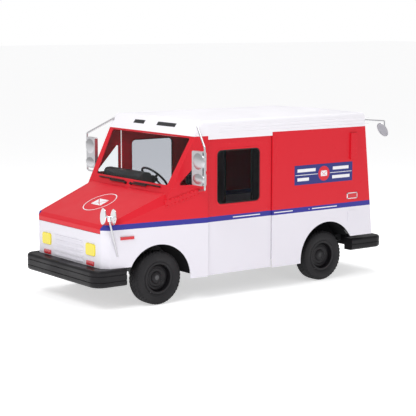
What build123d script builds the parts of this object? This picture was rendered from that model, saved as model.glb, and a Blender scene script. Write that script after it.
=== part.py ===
from build123d import *
from math import atan, cos, degrees, radians, sin, sqrt
import os

os.makedirs("parts", exist_ok=True)

# Right-hand-drive delivery truck. Millimetres, +Z up, front faces -Y, +X is the vehicle's left side.
# The origin is on the ground, on the centre plane, half way along the overall length.

# overall sizes
overall_length = 4458.0
front_y = -overall_length / 2
rear_y = overall_length / 2
body_half_width = 952.5
roof_top_z = 2159.0
roof_edge_z = 1969.0
sill_z = 281.0
wheelbase = 2553.0
front_overhang = 868.0

# skins
skin = 8.0
seam = 4.0
door_thickness = 28.0
door_running_gap = 9.0

# nose, hood and windshield
nose_setback = 150.0
nose_half = 715.0
nose_corner_half = 790.0
nose_corner_depth = 78.0
nose_bottom_z = 489.0
nose_top_z = 955.0
nose_corner_radius = 45.0
hood_front_step = 39.0
hood_front_z = 993.0
hood_lip_z = 895.0
hood_slope = 0.392
hood_half_front = 700.0
hood_half_rear = 792.0
shoulder_front_z = 962.0
shoulder_rise = 0.3235
shoulder_tilt = 55.0
screen_foot_y = front_y + 1034.0
screen_foot_z = 1390.0
screen_slope = 1.889
screen_half_bottom = 780.0
screen_half_top = 842.0
screen_top_z = 1945.0
cowl_top_z = 1372.0
cowl_half = 770.0
wiper_pivot_x = 62.0
wiper_pivot_z = 1350.0
wiper_boss_radius = 16.0
glass = 5.0

# wheels and axles
tyre_radius = 320.0
tyre_half_width = 97.0
rim_radius = 178.0
track_half = 765.0
spindle_radius = 30.0
running_clearance = 0.06
kingpin_x = 650.0
kingpin_radius = 14.0
front_arch_radius = 405.0
rear_arch_radius = 455.0
liner_thickness = 3.0

# side doors and side windows
door_front_y = front_y + 1514.0
door_length = 981.0
door_bottom_z = 290.0
door_top_z = 1950.0
window_front_y = door_front_y + 131.0
window_rear_y = door_front_y + 814.0
window_bottom_z = 1124.0
window_top_z = 1803.0
window_corner = 70.0
quarter_front = (screen_foot_y + 77.0, 1405.0)
quarter_top = (door_front_y - 46.0, 1747.0)
quarter_rear = (door_front_y - 46.0, 1400.0)

# rear end
rear_bottom_z = 551.0
rear_face_y = rear_y - 269.0
rear_lean = 0.102
rear_frame_depth = 60.0
rear_opening_half = 760.0
rear_opening_height = 1190.0
guide_depth = 20.0
guide_width = 24.0

# floors
cab_floor_z = 520.0
cargo_floor_z = 640.0
floor_thickness = 16.0
step_z = 380.0
step_x = 690.0
inner_half = body_half_width - 62.5
firewall_y = screen_foot_y + 10.0

# chassis
rail_x = 370.0
rail_width = 60.0
rail_bottom_z = 395.0
rail_height = 90.0
channel_wall = 6.0
spring_x = 500.0
spring_width = 60.0

nose_y = front_y + nose_setback
front_axle_y = front_y + front_overhang
rear_axle_y = front_axle_y + wheelbase
corner_y = nose_y + nose_corner_depth
axle_z = tyre_radius
cargo_front_y = door_front_y + door_length
bulkhead_y = cargo_front_y + 64.0
side_slope = (body_half_width - nose_corner_half) / (door_front_y - corner_y)
hood_rear_y = screen_foot_y - (screen_foot_z - hood_front_z) / screen_slope
hood_rear_y += hood_slope * (hood_rear_y - nose_y - hood_front_step) / (screen_slope - hood_slope)


def rear_y_at(z):
    return rear_face_y - rear_lean * (z - rear_bottom_z)


def screen_y_at(z):
    return screen_foot_y + (z - screen_foot_z) / screen_slope


def side_x_at(y):
    return nose_corner_half + side_slope * (y - corner_y)


def box(x0, x1, y0, y1, z0, z1, mode=Mode.ADD):
    """Rectangular block between two corners, for use inside a part or on its own."""
    with Locations(((x0 + x1) / 2, (y0 + y1) / 2, (z0 + z1) / 2)):
        Box(x1 - x0, y1 - y0, z1 - z0, mode=mode)


def rod(start, end, radius):
    """Round bar from start to end."""
    axis = Vector(*end) - Vector(*start)
    with BuildPart() as bar:
        with BuildSketch(Plane(origin=start, z_dir=axis)):
            Circle(radius)
        extrude(amount=axis.length)
    return bar.part


def bent_rod(points, radius, bend):
    """Round bar bent along points, with one bend radius."""
    with BuildPart() as bar:
        with BuildLine() as path:
            FilletPolyline(*points, radius=bend)
        with BuildSketch(Plane(origin=path.line @ 0, z_dir=path.line % 0)):
            Circle(radius)
        sweep()
    return bar.part


# ---------------------------------------------------------------- front body skins

def cab_plan(inset, rear):
    """Plan of the cab from the nose back to rear, moved in by inset."""
    rear_half = side_x_at(rear)
    right = [(-nose_half, nose_y), (-nose_corner_half, corner_y), (-rear_half, rear)]
    left = [(rear_half, rear), (nose_corner_half, corner_y), (nose_half, nose_y)]
    with BuildSketch() as plan:
        with BuildLine():
            Polyline(*right, *left, close=True)
        make_face()
        front_corners = [v for v in plan.vertices() if v.Y < corner_y + 1]
        fillet(front_corners, nose_corner_radius)
        if inset > 0:
            offset(amount=-inset, kind=Kind.INTERSECTION)
    return plan.sketch


def hood_volume(inset, rear):
    """Bonnet shape: plan, side profile and the two sloping shoulders, all moved in by inset."""
    top_y = rear + 300
    lip_y = nose_y + hood_front_step
    with BuildPart() as volume:
        with BuildSketch(Plane.XY.offset(nose_bottom_z - 300)):
            add(cab_plan(inset, rear))
        extrude(amount=roof_top_z)
        with BuildSketch(Plane.YZ):
            with BuildLine():
                Polyline(
                    (nose_y, 0),
                    (nose_y, nose_top_z),
                    (lip_y, hood_front_z),
                    (top_y, hood_front_z + hood_slope * (top_y - lip_y)),
                    (top_y, 0),
                    close=True,
                )
            make_face()
            fillet(vertices().filter_by(lambda v: nose_top_z - 1 < v.Y < hood_front_z + 1), 25)
            if inset > 0:
                offset(amount=-inset, kind=Kind.INTERSECTION)
        extrude(amount=body_half_width + 100, both=True, mode=Mode.INTERSECT)
        for side in (1, -1):
            along = Vector(side * side_slope, 1, shoulder_rise).normalized()
            lean = Vector(-side * cos(radians(shoulder_tilt)), 0, sin(radians(shoulder_tilt)))
            outward = along.cross(lean).normalized() * side
            if outward.Z < 0:
                outward = outward * -1
            foot = Vector(side * nose_corner_half, corner_y, shoulder_front_z) - outward * inset
            split(bisect_by=Plane(origin=foot, z_dir=outward), keep=Keep.BOTTOM)
    return volume.part


def cab_volume(inset, rear):
    """Cab shape behind the windshield plane, moved in by inset."""
    with BuildPart() as volume:
        with BuildSketch(Plane.XY.offset(nose_bottom_z - 300)):
            add(cab_plan(inset, rear))
        extrude(amount=roof_top_z)
        with BuildSketch(Plane.YZ):
            with BuildLine():
                Polyline(
                    (screen_y_at(0), 0),
                    (screen_y_at(roof_top_z), roof_top_z),
                    (rear + 300, roof_top_z),
                    (rear + 300, 0),
                    close=True,
                )
            make_face()
            if inset > 0:
                offset(amount=-inset, kind=Kind.INTERSECTION)
        extrude(amount=body_half_width + 100, both=True, mode=Mode.INTERSECT)
    return volume.part


def front_skin(outer, inner):
    """Wall of the whole front body between two insets, open at the back and the bottom."""
    with BuildPart() as wall:
        add(hood_volume(outer, door_front_y))
        add(cab_volume(outer, door_front_y))
        add(hood_volume(inner, door_front_y + 200), mode=Mode.SUBTRACT)
        add(cab_volume(inner, door_front_y + 200), mode=Mode.SUBTRACT)
        box(-1100, 1100, front_y, door_front_y, sill_z, roof_edge_z, mode=Mode.INTERSECT)
    return wall.part


def hood_column(grow):
    """Upright prism over the hood's plan, grown sideways and rearwards by grow."""
    with BuildPart() as column:
        with BuildSketch(Plane.XY.offset(hood_lip_z - grow)):
            with BuildLine():
                Polyline(
                    (-hood_half_front - grow, nose_y - 50),
                    (hood_half_front + grow, nose_y - 50),
                    (hood_half_rear + grow, hood_rear_y - seam + grow),
                    (-hood_half_rear - grow, hood_rear_y - seam + grow),
                    close=True,
                )
            make_face()
        extrude(amount=roof_top_z - hood_lip_z)
    return column.part


def window_prisms():
    """Windshield and quarter window openings as solids that cross the skin."""
    screen_plane = Plane(
        origin=(0, screen_foot_y, screen_foot_z),
        x_dir=(1, 0, 0),
        z_dir=(0, -screen_slope, 1),
    )
    slant = sqrt(1 + 1 / screen_slope**2)
    low = 12 * slant
    high = (screen_top_z - screen_foot_z) * slant
    with BuildPart() as prisms:
        with BuildSketch(screen_plane):
            with BuildLine():
                Polyline(
                    (-screen_half_bottom, low),
                    (screen_half_bottom, low),
                    (screen_half_top, high),
                    (-screen_half_top, high),
                    close=True,
                )
            make_face()
            fillet(vertices(), 30)
        extrude(amount=60, both=True)
        with BuildSketch(Plane.YZ.offset(body_half_width - 150)):
            with BuildLine():
                Polyline(quarter_front, quarter_top, quarter_rear, close=True)
            make_face()
            fillet(vertices(), 18)
        extrude(amount=200)
        with BuildSketch(Plane.YZ.offset(-body_half_width - 50)):
            with BuildLine():
                Polyline(quarter_front, quarter_top, quarter_rear, close=True)
            make_face()
            fillet(vertices(), 18)
        extrude(amount=200)
    return prisms.part


front_shell = front_skin(0, skin)
hood_region = hood_column(0)
hood_keepout = hood_column(seam)
front_windows = window_prisms()

# nose panel with lamp and grille openings
lamp_x = 505.0
lamp_z = 688.0
lamp_width = 200.0
lamp_height = 142.0
signal_x = 495.0
signal_z = 527.0
signal_width = 157.0
signal_height = 50.0
grille_half = 320.0
grille_bottom_z = 512.0
grille_top_z = 765.0
grille_bars = 5
grille_bar = 15.0
plate_hole_x = 89.0
plate_hole_z = 870.0
plate_hole_radius = 3.5

with BuildPart() as nose_panel:
    add(front_shell)
    box(-1100, 1100, front_y, corner_y, nose_bottom_z, hood_lip_z - seam, mode=Mode.INTERSECT)
    with BuildSketch(Plane.XZ.offset(-nose_y - skin - 30)):
        for side in (1, -1):
            with Locations((side * lamp_x, lamp_z)):
                RectangleRounded(lamp_width, lamp_height, 30)
            with Locations((side * signal_x, signal_z)):
                RectangleRounded(signal_width, signal_height, 8)
            with Locations((side * plate_hole_x, plate_hole_z)):
                Circle(plate_hole_radius)
        pitch = (grille_top_z - grille_bottom_z - grille_bar) / (grille_bars - 1)
        for slot in range(grille_bars - 1):
            with Locations((0, grille_bottom_z + grille_bar / 2 + (slot + 0.5) * pitch)):
                Rectangle(2 * grille_half - 60, pitch - 44)
    extrude(amount=100, mode=Mode.SUBTRACT)
    with BuildSketch(Plane.XZ.offset(-nose_y)):
        for bar in range(grille_bars):
            with Locations((0, grille_bottom_z + grille_bar / 2 + bar * pitch)):
                Rectangle(2 * grille_half, grille_bar)
    extrude(amount=9)
nose_panel.part.label = "nose_panel"
export_step(nose_panel.part, "parts/nose_panel.step")

with BuildPart() as headlamps:
    with BuildSketch(Plane.XZ.offset(-nose_y - skin)):
        for side in (1, -1):
            with Locations((side * lamp_x, lamp_z)):
                RectangleRounded(lamp_width, lamp_height, 30)
    extrude(amount=skin + 16)
    fillet(headlamps.faces().sort_by(Axis.Y)[:2].edges(), 7)
headlamps.part.label = "headlamps"
export_step(headlamps.part, "parts/headlamps.step")

with BuildPart() as hood:
    add(front_shell)
    add(hood_region, mode=Mode.INTERSECT)
hood.part.label = "hood"
export_step(hood.part, "parts/hood.step")

# pillars, windshield surround and cowl, pressed in one piece
with BuildPart() as cab_frame:
    add(front_shell)
    box(-1100, 1100, front_y, door_front_y, hood_lip_z, roof_edge_z, mode=Mode.INTERSECT)
    add(hood_keepout, mode=Mode.SUBTRACT)
    for side in (1, -1):
        low_x, high_x = sorted((side * cowl_half, side * 1100))
        box(low_x, high_x, front_y, door_front_y + 1, 0, cowl_top_z, mode=Mode.SUBTRACT)
    box(-1100, 1100, front_y, hood_rear_y - 40, 0, cowl_top_z, mode=Mode.SUBTRACT)
    add(front_windows, mode=Mode.SUBTRACT)
    for side in (1, -1):
        pivot = (side * wiper_pivot_x, screen_y_at(wiper_pivot_z), wiper_pivot_z)
        with BuildSketch(Plane(origin=pivot, x_dir=(1, 0, 0), z_dir=(0, -screen_slope, 1))):
            Circle(wiper_boss_radius + 0.5)
        extrude(amount=40, both=True, mode=Mode.SUBTRACT)
cab_frame.part.label = "cab_frame"
export_step(cab_frame.part, "parts/cab_frame.step")

for side, side_name in ((1, "left"), (-1, "right")):
    with BuildPart() as fender:
        add(front_shell)
        box(-1100, 1100, front_y, door_front_y, sill_z, cowl_top_z - 0.5, mode=Mode.INTERSECT)
        box(-1100, 1100, front_y, corner_y + 0.5, 0, hood_lip_z - seam + 0.5, mode=Mode.SUBTRACT)
        add(hood_keepout, mode=Mode.SUBTRACT)
        cut_half = cowl_half + 0.5
        cut_front = hood_rear_y - 40
        box(-cut_half, cut_half, cut_front, door_front_y, hood_lip_z, roof_top_z, mode=Mode.SUBTRACT)
        with BuildSketch(Plane.YZ.offset(-1100)):
            with Locations((front_axle_y, axle_z)):
                Circle(front_arch_radius)
            with Locations((front_axle_y - 500, nose_bottom_z - 150)):
                Rectangle(1000, 300)
        extrude(amount=2200, mode=Mode.SUBTRACT)
        split(bisect_by=Plane.YZ, keep=Keep.TOP if side > 0 else Keep.BOTTOM)
    fender.part.label = f"fender_{side_name}"
    export_step(fender.part, f"parts/fender_{side_name}.step")

with BuildPart() as fixed_glass:
    add(front_skin(1.5, 1.5 + glass))
    add(front_windows, mode=Mode.INTERSECT)
fixed_glass.part.label = "fixed_glass"
export_step(fixed_glass.part, "parts/fixed_glass.step")


# ---------------------------------------------------------------- roof and side walls

# white roof cap with a sloping brow over the windshield
brow_foot_y = door_front_y - 190.0
brow_top_y = door_front_y - 50.0
roof_radius = 55.0
roof_crown = 14.0

def roof_volume(inset):
    """Outer form of the roof cap, moved in by inset."""
    rear_low = rear_y_at(roof_edge_z)
    rear_high = rear_y_at(roof_top_z)
    with BuildPart() as volume:
        with BuildSketch(Plane.XZ.offset(-rear_low - 50)):
            with BuildLine():
                Polyline(
                    (-body_half_width, roof_edge_z - inset),
                    (-body_half_width, roof_top_z - roof_crown),
                    (0, roof_top_z),
                    (body_half_width, roof_top_z - roof_crown),
                    (body_half_width, roof_edge_z - inset),
                    close=True,
                )
            make_face()
            top_corners = vertices().filter_by(lambda v: abs(v.X) > 1 and v.Y > roof_edge_z + 10)
            fillet(top_corners, roof_radius)
            if inset > 0:
                offset(amount=-inset, kind=Kind.INTERSECTION)
        extrude(amount=overall_length)
        with BuildSketch(Plane.YZ):
            with BuildLine():
                Polyline(
                    (brow_foot_y, roof_edge_z - 2 * inset),
                    (brow_top_y, roof_top_z),
                    (rear_high, roof_top_z),
                    (rear_low, roof_edge_z - 2 * inset),
                    close=True,
                )
            make_face()
            if inset > 0:
                offset(amount=-inset, kind=Kind.INTERSECTION)
        extrude(amount=body_half_width + 100, both=True, mode=Mode.INTERSECT)
        with BuildSketch(Plane.XY.offset(roof_edge_z - 100)):
            with BuildLine():
                Polyline(
                    (-brow_half, brow_foot_y - 10),
                    (brow_half, brow_foot_y - 10),
                    (body_half_width, door_front_y),
                    (body_half_width, rear_y),
                    (-body_half_width, rear_y),
                    (-body_half_width, door_front_y),
                    close=True,
                )
            make_face()
            if inset > 0:
                offset(amount=-inset, kind=Kind.INTERSECTION)
        extrude(amount=400, mode=Mode.INTERSECT)
    return volume.part


brow_half = side_x_at(brow_foot_y)

with BuildPart() as roof:
    add(roof_volume(0))
    add(roof_volume(skin), mode=Mode.SUBTRACT)
    box(-1100, 1100, front_y, rear_y, roof_edge_z, roof_top_z + 10, mode=Mode.INTERSECT)
roof.part.label = "roof"
export_step(roof.part, "parts/roof.step")

# side walls of the cargo body: skin with the rear wheel arch
cargo_skin_x = body_half_width - skin
fuel_flap_y = rear_y - 614.0
fuel_flap_z = 810.0
fuel_flap_size = 160.0
filler_radius = 45.0
vent_front_y = rear_face_y - 406.0
vent_width = 115.0
vent_bottom_z = 1553.0
vent_height = 339.0
vent_depth = 22.0

for side, side_name in ((1, "left"), (-1, "right")):
    with BuildPart() as cargo_side:
        with BuildSketch(Plane.YZ.offset(side * (cargo_skin_x + skin / 2))):
            with BuildLine():
                Polyline(
                    (cargo_front_y + seam, sill_z),
                    (rear_axle_y, sill_z),
                    (rear_axle_y, rear_bottom_z),
                    (rear_y_at(rear_bottom_z), rear_bottom_z),
                    (rear_y_at(roof_edge_z), roof_edge_z - 0.5),
                    (cargo_front_y + seam, roof_edge_z - 0.5),
                    close=True,
                )
            make_face()
            with Locations((rear_axle_y, axle_z)):
                Circle(rear_arch_radius, mode=Mode.SUBTRACT)
            if side > 0:
                with Locations((fuel_flap_y, fuel_flap_z)):
                    Circle(filler_radius, mode=Mode.SUBTRACT)
        extrude(amount=skin / 2, both=True)
        box(
            side * body_half_width - (vent_depth if side < 0 else 0),
            side * body_half_width + (vent_depth if side > 0 else 0),
            vent_front_y,
            vent_front_y + vent_width,
            vent_bottom_z,
            vent_bottom_z + vent_height,
        )
    cargo_side.part.label = f"cargo_side_{side_name}"
    export_step(cargo_side.part, f"parts/cargo_side_{side_name}.step")

# fuel filler flap, hinged along its front edge
flap_thickness = 4.0
flap_gap = 0.5
flap_barrel = 5.0
with BuildPart() as fuel_flap:
    box(
        body_half_width + flap_gap,
        body_half_width + flap_gap + flap_thickness,
        fuel_flap_y - fuel_flap_size / 2,
        fuel_flap_y + fuel_flap_size / 2,
        fuel_flap_z - fuel_flap_size / 2,
        fuel_flap_z + fuel_flap_size / 2,
    )
    fillet(fuel_flap.edges().filter_by(Axis.X), 18)
    flap_hinge_x = body_half_width + flap_gap + flap_barrel
    with Locations((flap_hinge_x, fuel_flap_y - fuel_flap_size / 2, fuel_flap_z)):
        Cylinder(flap_barrel, fuel_flap_size - 50)
fuel_flap.part.label = "fuel_flap"
export_step(fuel_flap.part, "parts/fuel_flap.step")

# track for each side door, with the white cover that hides it from outside
track_height = 12.0
track_inner_x = cargo_skin_x - door_running_gap - door_thickness
track_rear_y = cargo_front_y + door_length * 0.9
cover_bottom_z = 1925.0
with BuildPart() as door_tracks:
    for side in (1, -1):
        low_x, high_x = sorted((side * track_inner_x, side * (cargo_skin_x - 0.5)))
        box(low_x, high_x, door_front_y + 1, track_rear_y, roof_edge_z - track_height, roof_edge_z - 0.5)
        low_x, high_x = sorted((side * (cargo_skin_x - 5), side * body_half_width))
        box(low_x, high_x, door_front_y + 1, cargo_front_y, cover_bottom_z, roof_edge_z - 0.5)
door_tracks.part.label = "door_tracks"
export_step(door_tracks.part, "parts/door_tracks.step")

# ---------------------------------------------------------------- side doors

door_outer_x = cargo_skin_x - door_running_gap
door_inner_x = door_outer_x - door_thickness
door_frame = 14.0
for side, side_name in ((1, "left"), (-1, "right")):
    window_size = (
        window_rear_y - window_front_y - 2 * door_frame,
        window_top_z - window_bottom_z - 2 * door_frame,
    )
    window_centre = ((window_front_y + window_rear_y) / 2, (window_top_z + window_bottom_z) / 2)
    mid_x = side * (door_outer_x + door_inner_x) / 2
    with BuildPart() as side_door:
        with BuildSketch(Plane.YZ.offset(mid_x)):
            door_middle_y = door_front_y + seam + (door_length - seam) / 2
            with Locations((door_middle_y, (door_bottom_z + door_top_z) / 2)):
                Rectangle(door_length - seam, door_top_z - door_bottom_z)
            with Locations(window_centre):
                RectangleRounded(*window_size, window_corner - door_frame / 2, mode=Mode.SUBTRACT)
        extrude(amount=door_thickness / 2, both=True)
        roller_x = side * (door_inner_x - 6)
        for roller_y in (door_front_y + 120, cargo_front_y - 120):
            with Locations((roller_x, roller_y, door_top_z - 14)):
                Cylinder(9, 22)
    side_door.part.label = f"side_door_{side_name}"
    export_step(side_door.part, f"parts/side_door_{side_name}.step")
    with BuildPart() as door_glass:
        with BuildSketch(Plane.YZ.offset(mid_x)):
            with Locations(window_centre):
                RectangleRounded(*window_size, window_corner - door_frame / 2)
        extrude(amount=glass / 2, both=True)
    door_glass.part.label = f"door_glass_{side_name}"
    export_step(door_glass.part, f"parts/door_glass_{side_name}.step")

# ---------------------------------------------------------------- rear end

lean_angle = degrees(atan(rear_lean))
rear_up = Vector(0, -rear_lean, 1).normalized()
rear_out = Vector(0, 1, rear_lean).normalized()
sill_height = (cargo_floor_z - rear_bottom_z) / cos(radians(lean_angle))
rear_frame_height = (roof_edge_z - 1.0 - rear_bottom_z) / cos(radians(lean_angle))
rear_half = cargo_skin_x - 0.5
rear_foot = Vector(0, rear_face_y, rear_bottom_z)
rear_plane = Plane(origin=rear_foot, x_dir=(-1, 0, 0), z_dir=rear_out)
guide_half = rear_opening_half + guide_depth
guide_middle = rear_foot - rear_out * (rear_frame_depth / 2)
guide_plane = Plane(origin=guide_middle, x_dir=(-1, 0, 0), z_dir=rear_out)

drum_radius = 58.0
drum_shaft_radius = 16.0
drum_length = 1500.0
drum_y = rear_face_y - 295.0
drum_z = 1892.0
drum_bracket = 12.0

with BuildPart() as rear_frame:
    with BuildSketch(rear_plane):
        with Locations((0, rear_frame_height / 2)):
            Rectangle(2 * rear_half, rear_frame_height)
        with Locations((0, sill_height + rear_opening_height / 2)):
            Rectangle(2 * rear_opening_half, rear_opening_height, mode=Mode.SUBTRACT)
    extrude(amount=-rear_frame_depth)
    with BuildSketch(guide_plane):
        for side in (1, -1):
            guide_x = side * (rear_opening_half + guide_depth / 2)
            with Locations((guide_x, sill_height + rear_opening_height / 2)):
                Rectangle(guide_depth, rear_opening_height)
    extrude(amount=guide_width / 2, both=True, mode=Mode.SUBTRACT)
    box(-1100, 1100, 0, rear_y, rear_bottom_z, roof_edge_z - 0.5, mode=Mode.INTERSECT)
    for side in (1, -1):
        with BuildSketch(Plane.YZ.offset(side * (drum_length / 2 + drum_bracket))):
            bracket_rear = rear_y_at(drum_z) - rear_frame_depth + 4
            with Locations(((drum_y - 30 + bracket_rear) / 2, drum_z)):
                Rectangle(bracket_rear - drum_y + 30, 60)
            with Locations((drum_y, drum_z)):
                Circle(drum_shaft_radius + running_clearance, mode=Mode.SUBTRACT)
        extrude(amount=side * drum_bracket)
rear_frame.part.label = "rear_frame"
export_step(rear_frame.part, "parts/rear_frame.step")

# roll-up door: slatted curtain, bottom rail, spring drum and latch handle
rail_bar_height = 90.0
curtain_thickness = 12.0
door_play = 2.0
rail_low = sill_height + 1.0
with BuildPart() as rear_door_rail:
    with BuildSketch(guide_plane):
        with Locations((0, rail_low + rail_bar_height / 2)):
            Rectangle(2 * (guide_half - door_play), rail_bar_height)
    extrude(amount=guide_width / 2 - door_play, both=True)
    with BuildSketch(guide_plane):
        with Locations((0, rail_low + rail_bar_height / 2)):
            Rectangle(2 * (rear_opening_half - 30), rail_bar_height)
    extrude(amount=rear_frame_depth / 2)
rear_door_rail.part.label = "rear_door_rail"
export_step(rear_door_rail.part, "parts/rear_door_rail.step")

curtain_low = rail_low + rail_bar_height + 1.0
curtain_high = sill_height + rear_opening_height - 3.0
with BuildPart() as rear_door_curtain:
    with BuildSketch(guide_plane):
        with Locations((0, (curtain_low + curtain_high) / 2)):
            Rectangle(2 * (guide_half - door_play), curtain_high - curtain_low)
    extrude(amount=curtain_thickness / 2, both=True)
rear_door_curtain.part.label = "rear_door_curtain"
export_step(rear_door_curtain.part, "parts/rear_door_curtain.step")

with BuildPart() as rear_door_drum:
    with BuildSketch(Plane.YZ):
        with Locations((drum_y, drum_z)):
            Circle(drum_radius)
    extrude(amount=drum_length / 2, both=True)
    with BuildSketch(Plane.YZ):
        with Locations((drum_y, drum_z)):
            Circle(drum_shaft_radius)
    extrude(amount=drum_length / 2 + 30, both=True)
rear_door_drum.part.label = "rear_door_drum"
export_step(rear_door_drum.part, "parts/rear_door_drum.step")

handle_v = rail_low + rail_bar_height / 2
handle_base = guide_middle + rear_up * handle_v + rear_out * (rear_frame_depth / 2 + 0.3)
handle_plane = Plane(origin=handle_base, x_dir=(-1, 0, 0), z_dir=rear_out)
handle_length = 170.0
with BuildPart() as rear_door_handle:
    with BuildSketch(handle_plane):
        Circle(22)
    extrude(amount=16)
    with BuildSketch(handle_plane.offset(16)):
        RectangleRounded(handle_length, 30, 12)
    extrude(amount=14)
rear_door_handle.part.label = "rear_door_handle"
export_step(rear_door_handle.part, "parts/rear_door_handle.step")

# ---------------------------------------------------------------- lamps

marker_height = 34.0
fender_marker_y = front_y + 448.0
fender_marker_z = 834.0
fender_marker_length = 172.0
rear_marker_y = rear_face_y - 361.0
rear_marker_z = 1081.0
rear_marker_length = 150.0
tail_lamp_x = 855.0
tail_lamp_v = 260.0
tail_lamp_height = 150.0
with BuildPart() as signal_lamps:
    with BuildSketch(Plane.XZ.offset(-nose_y - skin)):
        for side in (1, -1):
            with Locations((side * signal_x, signal_z)):
                RectangleRounded(signal_width, signal_height, 8)
    extrude(amount=skin + 12)
    for side in (1, -1):
        marker_x = side_x_at(fender_marker_y)
        turn = degrees(atan(side_slope))
        marker_place = (side * (marker_x + 6.6), fender_marker_y, fender_marker_z)
        with Locations(Location(marker_place, (0, 0, -side * turn))):
            Box(12, fender_marker_length, marker_height)
        with Locations((side * (body_half_width + 6), rear_marker_y, rear_marker_z)):
            Box(12, rear_marker_length, 56)
    with BuildSketch(rear_plane):
        for side in (1, -1):
            for row in (0, 1):
                with Locations((side * tail_lamp_x, tail_lamp_v + row * (tail_lamp_height + 20))):
                    RectangleRounded(110, tail_lamp_height, 10)
    extrude(amount=18)
signal_lamps.part.label = "signal_lamps"
export_step(signal_lamps.part, "parts/signal_lamps.step")

# ---------------------------------------------------------------- floor, arch liners and bulkhead

toe_half = 465.0
seat_x = -340.0
seat_front_y = door_front_y + 385.0
seat_rear_y = seat_front_y + 460.0
pedestal_height = 270.0
toe_step_y = firewall_y + 235.0
riser_y = bulkhead_y - 30.0
firewall_split_z = 760.0
firewall_top_z = 1290.0
liner_front_x = 480.0
liner_rear_x = 622.0
cargo_floor_rear = rear_y_at(cargo_floor_z) - rear_frame_depth - 2
house_half = sqrt(rear_arch_radius**2 - (cargo_floor_z - floor_thickness - axle_z) ** 2) + 3
firewall_half = side_x_at(firewall_y) - skin - seam

with BuildPart() as floor_pan:
    box(-inner_half, inner_half, riser_y, cargo_floor_rear, cargo_floor_z - floor_thickness, cargo_floor_z)
    for side in (1, -1):
        low_x, high_x = sorted((side * (liner_rear_x - 3), side * (inner_half + 20)))
        house_front = rear_axle_y - house_half
        house_rear = rear_axle_y + house_half
        box(low_x, high_x, house_front, house_rear, cab_floor_z, cargo_floor_z + 1, mode=Mode.SUBTRACT)
    box(-inner_half, inner_half, riser_y, riser_y + skin, cab_floor_z - floor_thickness, cargo_floor_z)
    for side in (1, -1):
        low_x, high_x = sorted((side * (step_x - skin), side * inner_half))
        box(low_x, high_x, riser_y, riser_y + skin, step_z - skin, cargo_floor_z)
    box(-step_x, step_x, toe_step_y, riser_y, cab_floor_z - floor_thickness, cab_floor_z)
    for side in (1, -1):
        low_x, high_x = sorted((side * step_x, side * (step_x - skin)))
        box(low_x, high_x, toe_step_y, riser_y, step_z - skin, cab_floor_z)
        low_x, high_x = sorted((side * (step_x - skin), side * inner_half))
        box(low_x, high_x, toe_step_y, riser_y, step_z - skin, step_z)
    box(-toe_half, toe_half, firewall_y - skin, toe_step_y, cab_floor_z - floor_thickness, cab_floor_z)
    box(-toe_half, toe_half, firewall_y - skin, firewall_y, cab_floor_z - floor_thickness, firewall_split_z)
    firewall_low_z = firewall_split_z - skin
    box(-firewall_half, firewall_half, firewall_y - skin, firewall_y, firewall_low_z, firewall_top_z)
    pedestal_top_z = cab_floor_z + pedestal_height
    box(seat_x - 190, seat_x + 190, seat_front_y + 60, seat_rear_y - 20, cab_floor_z, pedestal_top_z)
    box(
        seat_x - 190 + skin,
        seat_x + 190 - skin,
        seat_front_y + 60 + skin,
        seat_rear_y - 20 - skin,
        cab_floor_z - floor_thickness,
        pedestal_top_z - skin,
        mode=Mode.SUBTRACT,
    )
    for side in (1, -1):
        low_x, high_x = sorted((side * (toe_half - skin), side * firewall_half))
        box(low_x, high_x, firewall_y - skin, toe_step_y, firewall_split_z - skin, firewall_split_z)
        low_x, high_x = sorted((side * (toe_half - skin), side * toe_half))
        box(low_x, high_x, firewall_y - skin, toe_step_y, cab_floor_z - floor_thickness, firewall_split_z)
        low_x, high_x = sorted((side * (toe_half - skin), side * (inner_half - 6)))
        box(low_x, high_x, toe_step_y - skin, toe_step_y, step_z - skin, firewall_split_z)
floor_pan.part.label = "floor_pan"
export_step(floor_pan.part, "parts/floor_pan.step")

with BuildPart() as front_liners:
    with BuildSketch(Plane.YZ):
        with Locations((front_axle_y, axle_z)):
            Circle(front_arch_radius - 0.5)
            Circle(front_arch_radius - 0.5 - liner_thickness, mode=Mode.SUBTRACT)
        with Locations((front_axle_y, axle_z - 500)):
            Rectangle(1000, 1000 + 40, mode=Mode.SUBTRACT)
        with Locations((front_axle_y - 500, nose_bottom_z - 500)):
            Rectangle(1000, 1000, mode=Mode.SUBTRACT)
    extrude(amount=1000, both=True)
    box(-liner_front_x, liner_front_x, front_y, 0, 0, 1000, mode=Mode.SUBTRACT)
    with BuildSketch(Plane.XY):
        add(cab_plan(skin + 1, door_front_y + 100))
    extrude(amount=1000, mode=Mode.INTERSECT)

with BuildPart() as arch_liners:
    add(front_liners.part)
    for side in (1, -1):
        with BuildSketch(Plane.YZ.offset(side * liner_rear_x)):
            with Locations((rear_axle_y, axle_z)):
                Circle(rear_arch_radius - 2)
                Circle(rear_arch_radius - 2 - liner_thickness, mode=Mode.SUBTRACT)
            with Locations((rear_axle_y, axle_z - 500)):
                Rectangle(1000, 1000 + 40, mode=Mode.SUBTRACT)
            with Locations((rear_axle_y + 500, rear_bottom_z - 500)):
                Rectangle(1000, 1000, mode=Mode.SUBTRACT)
        extrude(amount=side * (inner_half - liner_rear_x))
        with BuildSketch(Plane.YZ.offset(side * liner_rear_x)):
            with Locations((rear_axle_y, axle_z)):
                Circle(rear_arch_radius - 2)
            with Locations((rear_axle_y, axle_z - 500 + 110)):
                Rectangle(1000, 1000, mode=Mode.SUBTRACT)
        extrude(amount=side * liner_thickness)
arch_liners.part.label = "arch_liners"
export_step(arch_liners.part, "parts/arch_liners.step")

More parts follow.
